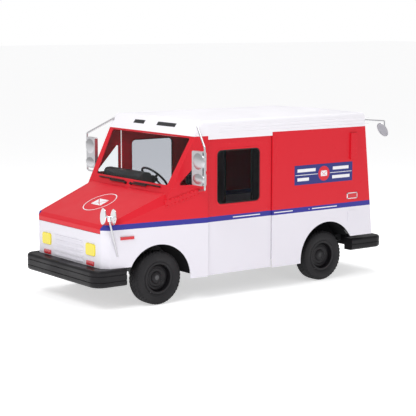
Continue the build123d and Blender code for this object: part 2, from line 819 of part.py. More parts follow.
passage_low_x = -80.0
passage_high_x = 470.0
passage_top_z = 1880.0
with BuildPart() as bulkhead:
    wall_half = inner_half - 4
    box(-wall_half, wall_half, bulkhead_y, bulkhead_y + skin, cargo_floor_z + 0.5, roof_edge_z - 4)
    passage_front = bulkhead_y - 10
    passage_rear = bulkhead_y + 20
    box(
        passage_low_x,
        passage_high_x,
        passage_front,
        passage_rear,
        cargo_floor_z,
        passage_top_z,
        mode=Mode.SUBTRACT,
    )
    for post_x in (passage_low_x - 30, passage_high_x):
        box(post_x, post_x + 30, bulkhead_y - 22, bulkhead_y, cargo_floor_z + 0.5, passage_top_z)
bulkhead.part.label = "bulkhead"
export_step(bulkhead.part, "parts/bulkhead.step")

# ---------------------------------------------------------------- chassis and running gear

rail_front_y = nose_y + 4
rail_rear_y = rear_face_y - 60.0
body_mount = 60.0
cross_depth = 30.0
joint_gap = 0.05
cross_half = rail_x + rail_width - channel_wall - joint_gap
mount_low_z = rail_bottom_z + rail_height + joint_gap
with BuildPart() as chassis_frame:
    for side in (1, -1):
        low_x, high_x = sorted((side * rail_x, side * (rail_x + rail_width)))
        box(low_x, high_x, rail_front_y, rail_rear_y, rail_bottom_z, rail_bottom_z + rail_height)
        low_x, high_x = sorted((side * (rail_x - 1), side * (rail_x + rail_width - channel_wall)))
        box(
            low_x,
            high_x,
            rail_front_y - 1,
            rail_rear_y + 1,
            rail_bottom_z + channel_wall,
            rail_bottom_z + rail_height - channel_wall,
            mode=Mode.SUBTRACT,
        )
        low_x, high_x = sorted((side * rail_x, side * (rail_x + rail_width)))
        for mount_y in (firewall_y + 185, door_front_y + 365, bulkhead_y - 180):
            box(low_x, high_x, mount_y, mount_y + body_mount, mount_low_z, cab_floor_z - floor_thickness)
        for mount_y in (bulkhead_y + 90, rear_axle_y - 232, rear_axle_y + 308, rail_rear_y - 100):
            box(low_x, high_x, mount_y, mount_y + body_mount, mount_low_z, cargo_floor_z - floor_thickness)
        hanger_x = rail_x + rail_width + joint_gap
        low_x, high_x = sorted((side * hanger_x, side * (spring_x - spring_width / 2 - 1)))
        for hanger_y in (rear_axle_y - 640, rear_axle_y + 560):
            box(low_x, high_x, hanger_y, hanger_y + 80, rail_bottom_z + 10, rail_bottom_z + rail_height)
    cross_top = rail_bottom_z + rail_height - channel_wall - joint_gap
    cross_places = (
        door_front_y + 315,
        bulkhead_y - 70,
        rear_axle_y - 492,
        rear_axle_y + 228,
        rail_rear_y - body_mount,
    )
    for cross_y in cross_places:
        box(-cross_half, cross_half, cross_y, cross_y + body_mount, cross_top - cross_depth, cross_top)
    front_low_z = rail_bottom_z + channel_wall + joint_gap
    box(-cross_half, cross_half, rail_front_y, rail_front_y + body_mount, front_low_z, cross_top)
    cradle_half = rail_x + 40
    cradle_low_z = rail_bottom_z - 75
    cradle_top_z = rail_bottom_z - joint_gap
    box(-cradle_half, cradle_half, front_axle_y - 60, front_axle_y + 60, cradle_low_z, cradle_top_z)
chassis_frame.part.label = "chassis_frame"
export_step(chassis_frame.part, "parts/chassis_frame.step")

arm_thickness = 20.0
lower_arm_z = 262.0
upper_arm_z = 436.0
arm_root_x = rail_x + rail_width + 1
spring_half_length = 600.0
spring_centre_z = 366.0
spring_end_z = 418.0
with BuildPart() as suspension:
    for side in (1, -1):
        for arm_z in (lower_arm_z, upper_arm_z):
            with BuildSketch(Plane.XY.offset(arm_z)):
                with BuildLine():
                    Polyline(
                        (side * arm_root_x, front_axle_y - 130),
                        (side * (kingpin_x + 26), front_axle_y - 26),
                        (side * (kingpin_x + 26), front_axle_y + 26),
                        (side * arm_root_x, front_axle_y + 130),
                        close=True,
                    )
                make_face()
                with Locations((side * kingpin_x, front_axle_y)):
                    Circle(kingpin_radius + running_clearance, mode=Mode.SUBTRACT)
            extrude(amount=arm_thickness)
        low_x, high_x = sorted((side * (rail_x + 20), side * (arm_root_x + 40)))
        box(low_x, high_x, front_axle_y - 110, front_axle_y + 110, lower_arm_z + 2, rail_bottom_z - 76)
        box(low_x, high_x, front_axle_y - 125, front_axle_y - 70, rail_bottom_z - 80, rail_bottom_z - 1)
        with BuildSketch(Plane.YZ.offset(side * spring_x)):
            with BuildLine():
                lower = ThreePointArc(
                    (rear_axle_y - spring_half_length, spring_end_z),
                    (rear_axle_y, spring_centre_z),
                    (rear_axle_y + spring_half_length, spring_end_z),
                )
                upper = ThreePointArc(
                    (rear_axle_y - spring_half_length, spring_end_z + 14),
                    (rear_axle_y, spring_centre_z + 28),
                    (rear_axle_y + spring_half_length, spring_end_z + 14),
                )
                Line(lower @ 0, upper @ 0)
                Line(lower @ 1, upper @ 1)
            make_face()
        extrude(amount=spring_width / 2, both=True)
suspension.part.label = "suspension"
export_step(suspension.part, "parts/suspension.step")

axle_tube_radius = 38.0
diff_radius = 112.0
drum_brake_radius = 128.0
hub_inner_x = track_half - 62.0
spindle_end_x = track_half + 46.0
with BuildPart() as rear_axle_housing:
    with BuildSketch(Plane.YZ):
        with Locations((rear_axle_y, axle_z)):
            Circle(axle_tube_radius)
    extrude(amount=hub_inner_x - 14, both=True)
    with BuildSketch(Plane.YZ):
        with Locations((rear_axle_y, axle_z)):
            Circle(spindle_radius)
    extrude(amount=spindle_end_x, both=True)
    with Locations((0, rear_axle_y, axle_z)):
        Sphere(diff_radius)
    with BuildSketch(Plane.XZ.offset(-rear_axle_y)):
        with Locations((0, axle_z)):
            Circle(62)
    extrude(amount=170)
    for side in (1, -1):
        with BuildSketch(Plane.YZ.offset(side * (hub_inner_x - 14))):
            with Locations((rear_axle_y, axle_z)):
                Circle(drum_brake_radius)
        extrude(amount=-side * 55)
        low_x, high_x = sorted((side * (spring_x - 40), side * (spring_x + 40)))
        box(low_x, high_x, rear_axle_y - 60, rear_axle_y + 60, axle_z + 20, spring_centre_z - 1)
rear_axle_housing.part.label = "rear_axle_housing"
export_step(rear_axle_housing.part, "parts/rear_axle_housing.step")

gearbox_rear_y = front_axle_y + 481.0
shaft_front = (0, gearbox_rear_y + 6, 400.0)
shaft_rear = (0, rear_axle_y - 174, 330.0)
engine_front_y = front_axle_y - 569.0
engine_rear_y = engine_front_y + 640.0
engine_half = 190.0
engine_low_z = 402.0
engine_block_z = 800.0
engine_top_z = 900.0
with BuildPart() as engine:
    box(-engine_half, engine_half, engine_front_y, engine_rear_y, engine_low_z, engine_block_z)
    box(-150, 150, engine_front_y + 30, engine_rear_y - 30, engine_block_z, engine_top_z)
    fillet(engine.edges().filter_by(Axis.Y), 14)
    with Locations((0, engine_front_y + 310, engine_top_z + 30)):
        Cylinder(160, 70)
    with BuildSketch(Plane.XZ.offset(5 - engine_rear_y)):
        with Locations((0, engine_low_z + 18)):
            RectangleRounded(300, 150, 40)
    with BuildSketch(Plane.XZ.offset(-gearbox_rear_y)):
        with Locations((0, 400)):
            Circle(60)
    loft()
    with BuildSketch(Plane.XZ.offset(-engine_front_y)):
        with Locations((0, engine_low_z + 218)):
            Circle(110)
    extrude(amount=40)
engine.part.label = "engine"
export_step(engine.part, "parts/engine.step")

shaft_axis = Vector(*shaft_rear) - Vector(*shaft_front)
with BuildPart() as propshaft:
    add(rod(shaft_front, shaft_rear, 34))
    for end in (shaft_front, Vector(*shaft_rear) - shaft_axis.normalized() * 60):
        with BuildSketch(Plane(origin=end, z_dir=shaft_axis)):
            Rectangle(100, 46)
        extrude(amount=60)
propshaft.part.label = "propshaft"
export_step(propshaft.part, "parts/propshaft.step")

tank_front_y = rear_axle_y + 298.0
with BuildPart() as fuel_tank:
    box(-160, 350, tank_front_y, tank_front_y + 340, 290, 450)
    fillet(fuel_tank.edges(), 30)
    add(rod((300, tank_front_y + 170, 440), (300, tank_front_y + 170, 530), 24))
fuel_tank.part.label = "fuel_tank"
export_step(fuel_tank.part, "parts/fuel_tank.step")

exhaust_x = -250.0
pipe_points = [
    (exhaust_x, front_axle_y + 111, 385),
    (exhaust_x, front_axle_y + 361, 345),
    (exhaust_x, rear_axle_y - 342, 345),
    (exhaust_x, rear_axle_y - 152, 430),
    (exhaust_x, rear_axle_y + 148, 430),
    (exhaust_x, rear_axle_y + 308, 350),
    (exhaust_x, rail_rear_y, 350),
]
with BuildPart() as exhaust:
    add(bent_rod(pipe_points, 24, 90))
    box(exhaust_x - 90, exhaust_x + 90, rear_axle_y - 1192, rear_axle_y - 632, 290, 400)
    fillet(exhaust.edges().filter_by(Axis.Y).filter_by(lambda e: e.length > 500), 40)
exhaust.part.label = "exhaust"
export_step(exhaust.part, "parts/exhaust.step")

# ---------------------------------------------------------------- bumpers

bumper_round = 32.0
groove_height = 9.0
groove_depth = 9.0

def bumper_band(outline, outer, low_z, high_z, low_round, high_round):
    """One moulded band of a bumper, the outer edges at its foot and top rounded."""
    with BuildPart() as band:
        with BuildSketch(Plane.XY.offset(low_z)):
            add(outline(0))
        extrude(amount=high_z - low_z)
        fillet(band.edges().filter_by(lambda e: outer(e.center()) and e.center().Z > high_z - 0.1), high_round)
        fillet(band.edges().filter_by(lambda e: outer(e.center()) and e.center().Z < low_z + 0.1), low_round)
    return band.part


def bumper_layers(outline, outer, low_z, high_z, grooves):
    """Moulded bumper: bands of one outline with lengthwise grooves between them."""
    band = (high_z - low_z - grooves * groove_height) / (grooves + 1)
    with BuildPart() as bumper:
        for layer in range(grooves + 1):
            layer_z = low_z + layer * (band + groove_height)
            low_round = bumper_round if layer == 0 else groove_height / 2
            high_round = bumper_round if layer == grooves else groove_height / 2
            add(bumper_band(outline, outer, layer_z, layer_z + band, low_round, high_round))
        with BuildSketch(Plane.XY.offset(low_z + band / 2)):
            add(outline(groove_depth))
        extrude(amount=high_z - low_z - band)
    return bumper.part


bumper_low_z = 283.0
bumper_half = 850.0
bumper_rear_y = front_y + 424.0
bumper_corner = 150.0
bumper_side = 95.0

def front_bumper_outline(inset):
    """U-shaped plan of the front bumper, its outer face moved in by inset."""
    with BuildSketch() as plan:
        with Locations((0, (front_y + inset + bumper_rear_y) / 2)):
            Rectangle(2 * (bumper_half - inset), bumper_rear_y - front_y - inset)
        fillet(plan.vertices().sort_by(Axis.Y)[:2], bumper_corner - inset)
        with Locations((0, (nose_y - 3 + bumper_rear_y + 10) / 2)):
            Rectangle(2 * (bumper_half - bumper_side), bumper_rear_y + 10 - nose_y + 3, mode=Mode.SUBTRACT)
    return plan.sketch


def front_bumper_outer(point):
    """Whether a point lies on the outer face of the front bumper."""
    return point.Y < nose_y - 20 or abs(point.X) > bumper_half - 20


rear_bumper_low_z = 346.0
rear_bumper_high_z = rear_bottom_z - 52.0
rear_bumper_half = 905.0
rear_bumper_front_y = rear_y - 569.0
rear_bumper_corner = 140.0

def rear_bumper_outline(inset):
    """U-shaped plan of the rear bumper and step, its outer face moved in by inset."""
    with BuildSketch() as plan:
        with Locations((0, (rear_y - inset + rear_bumper_front_y) / 2)):
            Rectangle(2 * (rear_bumper_half - inset), rear_y - inset - rear_bumper_front_y)
        fillet(plan.vertices().sort_by(Axis.Y)[-2:], rear_bumper_corner - inset)
        with Locations((0, (rear_bumper_front_y + rail_rear_y) / 2)):
            depth = rail_rear_y + 4 - rear_bumper_front_y
            Rectangle(2 * (rear_bumper_half - 150), depth + 4, mode=Mode.SUBTRACT)
    return plan.sketch


def rear_bumper_outer(point):
    """Whether a point lies on the outer face of the rear bumper."""
    return point.Y > rear_y - 60 or abs(point.X) > rear_bumper_half - 20


with BuildPart() as front_bumper:
    add(bumper_layers(front_bumper_outline, front_bumper_outer, bumper_low_z, nose_bottom_z - 2, 2))
front_bumper.part.label = "front_bumper"
export_step(front_bumper.part, "parts/front_bumper.step")

with BuildPart() as rear_bumper:
    add(bumper_layers(rear_bumper_outline, rear_bumper_outer, rear_bumper_low_z, rear_bumper_high_z, 1))
rear_bumper.part.label = "rear_bumper"
export_step(rear_bumper.part, "parts/rear_bumper.step")

# ---------------------------------------------------------------- wheels and steering knuckles

bore_radius = spindle_radius + running_clearance

def wheel_profile():
    """Half section of the steel wheel: x is the distance outwards from its centre plane, y the radius."""
    with BuildSketch() as section:
        with BuildLine():
            Polyline(
                (-82, rim_radius),
                (-82, rim_radius + 14),
                (-76, rim_radius + 14),
                (-76, rim_radius - 8),
                (24, rim_radius - 8),
                (30, 146),
                (40, 140),
                (44, 118),
                (30, 104),
                (30, 76),
                (42, 66),
                (50, 46),
                (50, bore_radius),
                (-60, bore_radius),
                (-60, 56),
                (18, 66),
                (18, 112),
                (30, 122),
                (28, 132),
                (18, 140),
                (12, rim_radius - 18),
                (-88, rim_radius - 18),
                (-92, rim_radius),
                close=True,
            )
        make_face()
        with Locations((52, rim_radius - 8)):
            Rectangle(60, 10)
        with Locations((79, rim_radius + 2)):
            Rectangle(6, 24)
    return section.sketch


def tyre_profile():
    """Half section of the tyre around the rim, hollow inside."""
    shoulder = tyre_radius - 14
    with BuildSketch() as section:
        with BuildLine():
            Polyline(
                (-74, rim_radius),
                (-74, rim_radius + 12),
                (-tyre_half_width, rim_radius + 62),
                (-tyre_half_width + 4, shoulder - 24),
                (-tyre_half_width + 22, tyre_radius),
                (tyre_half_width - 22, tyre_radius),
                (tyre_half_width - 4, shoulder - 24),
                (tyre_half_width, rim_radius + 62),
                (74, rim_radius + 12),
                (74, rim_radius),
                (56, rim_radius),
                (56, rim_radius + 16),
                (tyre_half_width - 18, rim_radius + 62),
                (tyre_half_width - 26, tyre_radius - 30),
                (-tyre_half_width + 26, tyre_radius - 30),
                (-tyre_half_width + 18, rim_radius + 62),
                (-56, rim_radius + 16),
                (-56, rim_radius),
                close=True,
            )
        make_face()
    return section.sketch


wheel_places = [
    ("front_left", 1, front_axle_y),
    ("front_right", -1, front_axle_y),
    ("rear_left", 1, rear_axle_y),
    ("rear_right", -1, rear_axle_y),
]
for place, side, centre_y in wheel_places:
    centre_plane = Plane(origin=(side * track_half, centre_y, axle_z), x_dir=(side, 0, 0), z_dir=(0, -1, 0))
    axle_line = Axis((0, centre_y, axle_z), (1, 0, 0))
    with BuildPart() as wheel:
        with BuildSketch(centre_plane):
            add(wheel_profile())
        revolve(axis=axle_line)
    wheel.part.label = f"wheel_{place}"
    export_step(wheel.part, f"parts/wheel_{place}.step")
    with BuildPart() as tyre:
        with BuildSketch(centre_plane):
            add(tyre_profile())
        revolve(axis=axle_line)
    tyre.part.label = f"tyre_{place}"
    export_step(tyre.part, f"parts/tyre_{place}.step")

knuckle_gap = 6.0
for side, side_name in ((1, "left"), (-1, "right")):
    with BuildPart() as knuckle:
        low_x, high_x = sorted((side * (kingpin_x - 22), side * (kingpin_x + 22)))
        knuckle_low = lower_arm_z + arm_thickness + knuckle_gap
        box(low_x, high_x, front_axle_y - 30, front_axle_y + 30, knuckle_low, upper_arm_z - knuckle_gap)
        with BuildSketch(Plane.YZ.offset(side * (kingpin_x + 10))):
            with Locations((front_axle_y, axle_z)):
                Circle(spindle_radius)
        extrude(amount=side * (spindle_end_x - kingpin_x - 10))
        with BuildSketch(Plane.XY.offset(lower_arm_z)):
            with Locations((side * kingpin_x, front_axle_y)):
                Circle(kingpin_radius)
        extrude(amount=upper_arm_z + arm_thickness - lower_arm_z)
    knuckle.part.label = f"knuckle_{side_name}"
    export_step(knuckle.part, f"parts/knuckle_{side_name}.step")

# ---------------------------------------------------------------- cab interior

wheel_hub_x = seat_x
wheel_hub_y = door_front_y + 115.0
wheel_hub_z = 1340.0
steering_rim_radius = 195.0
steering_rim_tube = 14.0
steering_shaft_radius = 14.0
column_radius = 34.0
column_gap = 40.0
steering_hub = Vector(wheel_hub_x, wheel_hub_y, wheel_hub_z)
steering_axis = Vector(0, 1, 1).normalized()
steering_plane = Plane(origin=steering_hub, x_dir=(1, 0, 0), z_dir=steering_axis)

with BuildPart() as steering_wheel:
    rim_point = steering_hub + steering_plane.x_dir * steering_rim_radius
    with BuildSketch(Plane(origin=rim_point, x_dir=(1, 0, 0), z_dir=steering_plane.y_dir)):
        Circle(steering_rim_tube)
    revolve(axis=Axis(steering_hub, steering_axis))
    with BuildSketch(steering_plane.offset(-24)):
        Circle(46)
    extrude(amount=34)
    with BuildSketch(steering_plane.offset(-8)):
        with PolarLocations(steering_rim_radius / 2 + 10, 3, start_angle=90):
            Rectangle(steering_rim_radius - 25, 30)
    extrude(amount=14)
    with BuildSketch(steering_plane.offset(-24)):
        Circle(steering_shaft_radius)
    extrude(amount=-320)
steering_wheel.part.label = "steering_wheel"
export_step(steering_wheel.part, "parts/steering_wheel.step")

column_end = (wheel_hub_y - firewall_y) * sqrt(2) - skin
with BuildPart() as steering_column:
    with BuildSketch(steering_plane.offset(-column_gap)):
        Circle(column_radius)
        Circle(steering_shaft_radius + running_clearance, mode=Mode.SUBTRACT)
    extrude(amount=-column_end + column_gap + 60)
    with BuildSketch(steering_plane.offset(-360)):
        Circle(column_radius)
    extrude(amount=-column_end + 420)
steering_column.part.label = "steering_column"
export_step(steering_column.part, "parts/steering_column.step")

dash_half = 850.0
dash_wall = 12.0
dash_low_z = 1080.0
dash_top_z = 1290.0
dash_front_y = firewall_y + 35.0
dash_rear_y = dash_front_y + 185.0
binnacle_low_x = -735.0
binnacle_high_x = 110.0
binnacle_rear_y = firewall_y + 235.0
binnacle_front_y = firewall_y + 75.0
binnacle_top_z = 1480.0
with BuildPart() as dashboard:
    with BuildSketch(Plane.YZ):
        with BuildLine():
            Polyline(
                (dash_front_y, dash_low_z),
                (dash_front_y, dash_top_z),
                (dash_rear_y, dash_top_z),
                (dash_rear_y + 20, dash_top_z - 90),
                (dash_rear_y - 20, dash_low_z),
                close=True,
            )
        make_face()
    extrude(amount=dash_half, both=True)
    with BuildSketch(Plane.YZ.offset(binnacle_low_x)):
        binnacle_depth = binnacle_rear_y - binnacle_front_y
        with Locations(((binnacle_rear_y + binnacle_front_y) / 2, (binnacle_top_z + dash_top_z) / 2 - 10)):
            Rectangle(binnacle_depth, binnacle_top_z - dash_top_z + 20)
        fillet(vertices().sort_by(Axis.Y)[-2:], 60)
    extrude(amount=binnacle_high_x - binnacle_low_x)
    hollow_half = dash_half - dash_wall
    hollow_rear_y = dash_rear_y - 20 - dash_wall
    hollow_low_z = dash_low_z + dash_wall
    hollow_top_z = dash_top_z - dash_wall
    box(
        -hollow_half,
        hollow_half,
        dash_front_y,
        hollow_rear_y,
        hollow_low_z,
        hollow_top_z,
        mode=Mode.SUBTRACT,
    )
dashboard.part.label = "dashboard"
export_step(dashboard.part, "parts/dashboard.step")

tray_low_x = 150.0
tray_high_x = 800.0
tray_front_y = firewall_y + 255.0
tray_rear_y = tray_front_y + 550.0
tray_low_z = 880.0
tray_depth = 110.0
tray_wall = 8.0
with BuildPart() as mail_tray:
    box(tray_low_x, tray_high_x, tray_front_y, tray_rear_y, tray_low_z, tray_low_z + tray_depth)
    box(
        tray_low_x + tray_wall,
        tray_high_x - tray_wall,
        tray_front_y + tray_wall,
        tray_rear_y - tray_wall,
        tray_low_z + tray_wall,
        tray_low_z + tray_depth + 1,
        mode=Mode.SUBTRACT,
    )
    for leg_x in (tray_low_x + 40, step_x - 100):
        for leg_y in (tray_front_y + 30, tray_rear_y - 70):
            box(leg_x, leg_x + 40, leg_y, leg_y + 40, cab_floor_z, tray_low_z)
mail_tray.part.label = "mail_tray"
export_step(mail_tray.part, "parts/mail_tray.step")

# driver's seat: box pedestal, frame that slides on it, cushion and backrest
seat_width = 480.0
seat_back_height = 560.0
seat_back_thickness = 110.0
cushion_low_z = 832.0
cushion_thickness = 110.0
seat_rail = 14.0
frame_low_z = cab_floor_z + pedestal_height + 0.4
with BuildPart() as seat_frame:
    box(seat_x - 215, seat_x + 215, seat_front_y + 20, seat_rear_y + 20, frame_low_z, cushion_low_z - 0.4)
    for side in (1, -1):
        low_x, high_x = sorted((seat_x + side * 191, seat_x + side * 215))
        box(low_x, high_x, seat_front_y + 60, seat_rear_y - 20, frame_low_z - seat_rail, frame_low_z)
    box(seat_x - 200, seat_x + 200, seat_rear_y - 4, seat_rear_y + 20, frame_low_z, cushion_low_z + 460)
seat_frame.part.label = "seat_frame"
export_step(seat_frame.part, "parts/seat_frame.step")

with BuildPart() as seat_cushion:
    box(
        seat_x - seat_width / 2,
        seat_x + seat_width / 2,
        seat_front_y,
        seat_rear_y - seat_back_thickness - 8,
        cushion_low_z,
        cushion_low_z + cushion_thickness,
    )
    fillet(seat_cushion.edges(), 30)
seat_cushion.part.label = "seat_cushion"
export_step(seat_cushion.part, "parts/seat_cushion.step")

with BuildPart() as seat_back:
    box(
        seat_x - seat_width / 2 + 10,
        seat_x + seat_width / 2 - 10,
        seat_rear_y - seat_back_thickness - 4,
        seat_rear_y - 4.4,
        cushion_low_z + 20,
        cushion_low_z + 20 + seat_back_height,
    )
    fillet(seat_back.edges(), 34)
seat_back.part.label = "seat_back"
export_step(seat_back.part, "parts/seat_back.step")

# pedals hang from pivots under the dashboard
pedal_pivot_y = firewall_y + 65.0
pedal_pivot_z = 1010.0
pedal_foot_z = 690.0
pedals = (("brake_pedal", seat_x + 70, 90), ("accelerator_pedal", seat_x - 75, 50))
for pedal_name, pedal_x, pad_width in pedals:
    with BuildPart() as pedal:
        pivot_start = (pedal_x - 30, pedal_pivot_y, pedal_pivot_z)
        pivot_end = (pedal_x + 30, pedal_pivot_y, pedal_pivot_z)
        add(rod(pivot_start, pivot_end, 12))
        add(rod((pedal_x, pedal_pivot_y, pedal_pivot_z), (pedal_x, pedal_pivot_y + 60, pedal_foot_z), 9))
        with Locations(Location((pedal_x, pedal_pivot_y + 68, pedal_foot_z), (30, 0, 0))):
            Box(pad_width, 16, 80)
    pedal.part.label = pedal_name
    export_step(pedal.part, f"parts/{pedal_name}.step")

# ---------------------------------------------------------------- wipers

screen_out = Vector(0, -screen_slope, 1).normalized()
wiper_blade_length = 560.0
wiper_arm_length = 330.0
for side, side_name in ((1, "left"), (-1, "right")):
    pivot = Vector(side * wiper_pivot_x, screen_y_at(wiper_pivot_z), wiper_pivot_z)
    wiper_plane = Plane(origin=pivot + screen_out * 2, x_dir=(side, 0, 0), z_dir=screen_out)
    blade_lift = side * 22.0
    with BuildPart() as wiper:
        with BuildSketch(wiper_plane.offset(-14)):
            Circle(wiper_boss_radius)
        extrude(amount=42)
        with BuildSketch(wiper_plane.offset(14)):
            with Locations((wiper_arm_length / 2, 0)):
                Rectangle(wiper_arm_length, 14)
            with Locations((wiper_arm_length, blade_lift / 2)):
                Rectangle(14, 14 + abs(blade_lift))
        extrude(amount=10)
        with BuildSketch(wiper_plane.offset(2)):
            with Locations((wiper_arm_length, blade_lift)):
                Rectangle(wiper_blade_length, 12)
        extrude(amount=20)
    wiper.part.label = f"wiper_{side_name}"
    export_step(wiper.part, f"parts/wiper_{side_name}.step")

# ---------------------------------------------------------------- mirrors

mirror_bar_x = 1290.0
mirror_bar_y = screen_foot_y + 180.0
mirror_bar_low_z = 1385.0
mirror_bar_high_z = 1868.0
mirror_bar_radius = 12.0
mirror_head_low_z = 1425.0
mirror_head_height = 400.0
mirror_head_width = 205.0
mirror_head_depth = 46.0
mirror_wall = 4.0
arm_bend = 24.0
upper_foot = (body_half_width - 47.5, door_front_y - 123.0, 2080.0)
lower_foot_y = door_front_y - 117.0
lower_foot = (side_x_at(lower_foot_y) - 1, lower_foot_y, 1326.0)
crossover_foot_y = front_y + 324.0
crossover_foot = (side_x_at(crossover_foot_y) - 1, crossover_foot_y, 629.0)
crossover_x = nose_corner_half + 50.0
crossover_top = (crossover_x - 2, front_y + 189.0, 1098.0)
crossover_front = Vector(crossover_x, front_y + 119.0, 1120.0)
crossover_rear = Vector(crossover_x, front_y + 257.0, 1097.0)
crossover_collar = 21.0
crossover_radius = 11.0
disc_radius = 94.0
disc_thickness = 9.0
rear_arm_root = (body_half_width - 52.5, rear_y_at(2050.0) - 30, 2050.0)
rear_arm_end = (body_half_width - 10.5, rear_y - 61.0, 2020.0)
rear_pivot_offset = 34.0
rear_disc_radius = 100.0
rear_disc_thickness = 10.0
rear_arm_radius = 9.0
rear_mirror_centre = Vector(body_half_width - 7.5, rear_y - 95.0, 1905.0)
rear_mirror_normal = Vector(-0.07, -0.88, -0.46).normalized()

with BuildPart() as mirror_arms:
    for side in (1, -1):
        route = [
            (side * upper_foot[0], upper_foot[1], upper_foot[2]),
            (side * mirror_bar_x, mirror_bar_y, mirror_bar_high_z),
            (side * mirror_bar_x, mirror_bar_y, mirror_bar_low_z),
            (side * lower_foot[0], lower_foot[1], lower_foot[2]),
        ]
        add(bent_rod(route, mirror_bar_radius, arm_bend))
    add(rod(crossover_foot, crossover_top, crossover_radius))
    rear_pivot = rear_mirror_centre - rear_mirror_normal * rear_pivot_offset
    add(bent_rod([rear_arm_root, rear_arm_end, tuple(rear_pivot)], rear_arm_radius, 16))
    add(roof_volume(0), mode=Mode.SUBTRACT)
    add(front_shell, mode=Mode.SUBTRACT)
mirror_arms.part.label = "mirror_arms"
export_step(mirror_arms.part, "parts/mirror_arms.step")

for side, side_name in ((1, "left"), (-1, "right")):
    with BuildPart() as mirror_head:
        head_outer_x = mirror_bar_x - mirror_bar_radius - 6
        low_x, high_x = sorted((side * head_outer_x, side * (head_outer_x - mirror_head_width)))
        middle_y = mirror_bar_y
        head_front = middle_y - mirror_head_depth / 2
        head_rear = middle_y + mirror_head_depth / 2
        head_top_z = mirror_head_low_z + mirror_head_height
        box(low_x, high_x, head_front, head_rear, mirror_head_low_z, head_top_z)
        fillet(mirror_head.edges().filter_by(Axis.Y), 22)
        mirror_faces = mirror_head.faces().filter_by(Axis.Y)
        offset(amount=-mirror_wall, openings=mirror_faces.sort_by(Axis.Y)[-1])
        for collar_z in (mirror_head_low_z + 60, mirror_head_low_z + mirror_head_height - 100):
            with BuildSketch(Plane.XY.offset(collar_z)):
                with Locations((side * mirror_bar_x, mirror_bar_y)):
                    Circle(mirror_bar_radius + 8)
                with Locations((side * (mirror_bar_x - 16), mirror_bar_y)):
                    Rectangle(28, 24)
                with Locations((side * mirror_bar_x, mirror_bar_y)):
                    Circle(mirror_bar_radius + running_clearance, mode=Mode.SUBTRACT)
            extrude(amount=36)
    mirror_head.part.label = f"mirror_head_{side_name}"
    export_step(mirror_head.part, f"parts/mirror_head_{side_name}.step")

with BuildPart() as mirror_head_rear:
    with BuildSketch(Plane(origin=rear_mirror_centre - rear_mirror_normal * 5, z_dir=rear_mirror_normal)):
        Circle(rear_disc_radius)
    extrude(amount=rear_disc_thickness)
    fillet(mirror_head_rear.edges(), 3)
    with BuildSketch(Plane(origin=rear_mirror_centre, z_dir=rear_mirror_normal)):
        Circle(12)
    extrude(amount=-rear_pivot_offset + rear_arm_radius + 0.6)
mirror_head_rear.part.label = "mirror_head_rear"
export_step(mirror_head_rear.part, "parts/mirror_head_rear.step")

stalk_axis = (Vector(*crossover_top) - Vector(*crossover_foot)).normalized()
with BuildPart() as crossover_mirrors:
    for centre in (crossover_front, crossover_rear):
        with BuildSketch(Plane(origin=centre - Vector(0, 12, 0), z_dir=(0.25, 1, -0.1))):
            Circle(disc_radius)
        extrude(amount=disc_thickness, taper=12)
    add(rod(crossover_front, crossover_rear, 11))
    with BuildSketch(Plane(origin=Vector(*crossover_top) - stalk_axis * 44, z_dir=stalk_axis)):
        Circle(crossover_collar)
    extrude(amount=54)
    bore_end = Vector(*crossover_top) + stalk_axis * 0.6
    add(rod(crossover_foot, bore_end, crossover_radius + running_clearance), mode=Mode.SUBTRACT)
crossover_mirrors.part.label = "crossover_mirrors"
export_step(crossover_mirrors.part, "parts/crossover_mirrors.step")
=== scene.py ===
import math

import bmesh
import bpy
from mathutils import Matrix, Vector


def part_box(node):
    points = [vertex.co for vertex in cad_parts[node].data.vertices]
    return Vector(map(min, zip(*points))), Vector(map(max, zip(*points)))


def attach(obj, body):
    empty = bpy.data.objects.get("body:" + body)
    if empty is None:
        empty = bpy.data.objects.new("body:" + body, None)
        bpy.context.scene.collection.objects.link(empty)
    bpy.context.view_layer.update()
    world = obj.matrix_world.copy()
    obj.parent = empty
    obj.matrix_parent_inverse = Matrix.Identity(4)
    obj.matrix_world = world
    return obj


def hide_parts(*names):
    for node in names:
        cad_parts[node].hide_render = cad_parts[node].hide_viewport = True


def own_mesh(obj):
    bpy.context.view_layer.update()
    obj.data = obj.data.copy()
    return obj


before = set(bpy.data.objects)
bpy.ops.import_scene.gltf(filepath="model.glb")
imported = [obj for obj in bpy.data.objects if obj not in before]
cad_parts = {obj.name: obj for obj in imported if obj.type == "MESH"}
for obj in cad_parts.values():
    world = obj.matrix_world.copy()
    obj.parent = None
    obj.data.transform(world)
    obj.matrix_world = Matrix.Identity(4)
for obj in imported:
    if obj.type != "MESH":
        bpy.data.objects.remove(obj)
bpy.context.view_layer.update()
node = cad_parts

# ---------------------------------------------------------------- studio and camera
# A pale seamless floor and a white room with three soft panels, as a product is lit.
# The camera stands in front of the truck's left corner, a little above head height.
back = Vector((0.79497, -0.59043, 0.13952)).normalized()
camera = bpy.data.objects.new("camera", bpy.data.cameras.new("camera"))
camera.data.lens = 114.63
camera.data.sensor_width = 36.0
camera.data.clip_end = 400.0
camera.location = (13.482, -10.024, 3.310)
camera.rotation_euler = back.to_track_quat("Z", "Y").to_euler()
bpy.context.scene.collection.objects.link(camera)
bpy.context.scene.camera = camera
bpy.context.scene.view_settings.view_transform = "Standard"
bpy.context.scene.view_settings.look = "None"

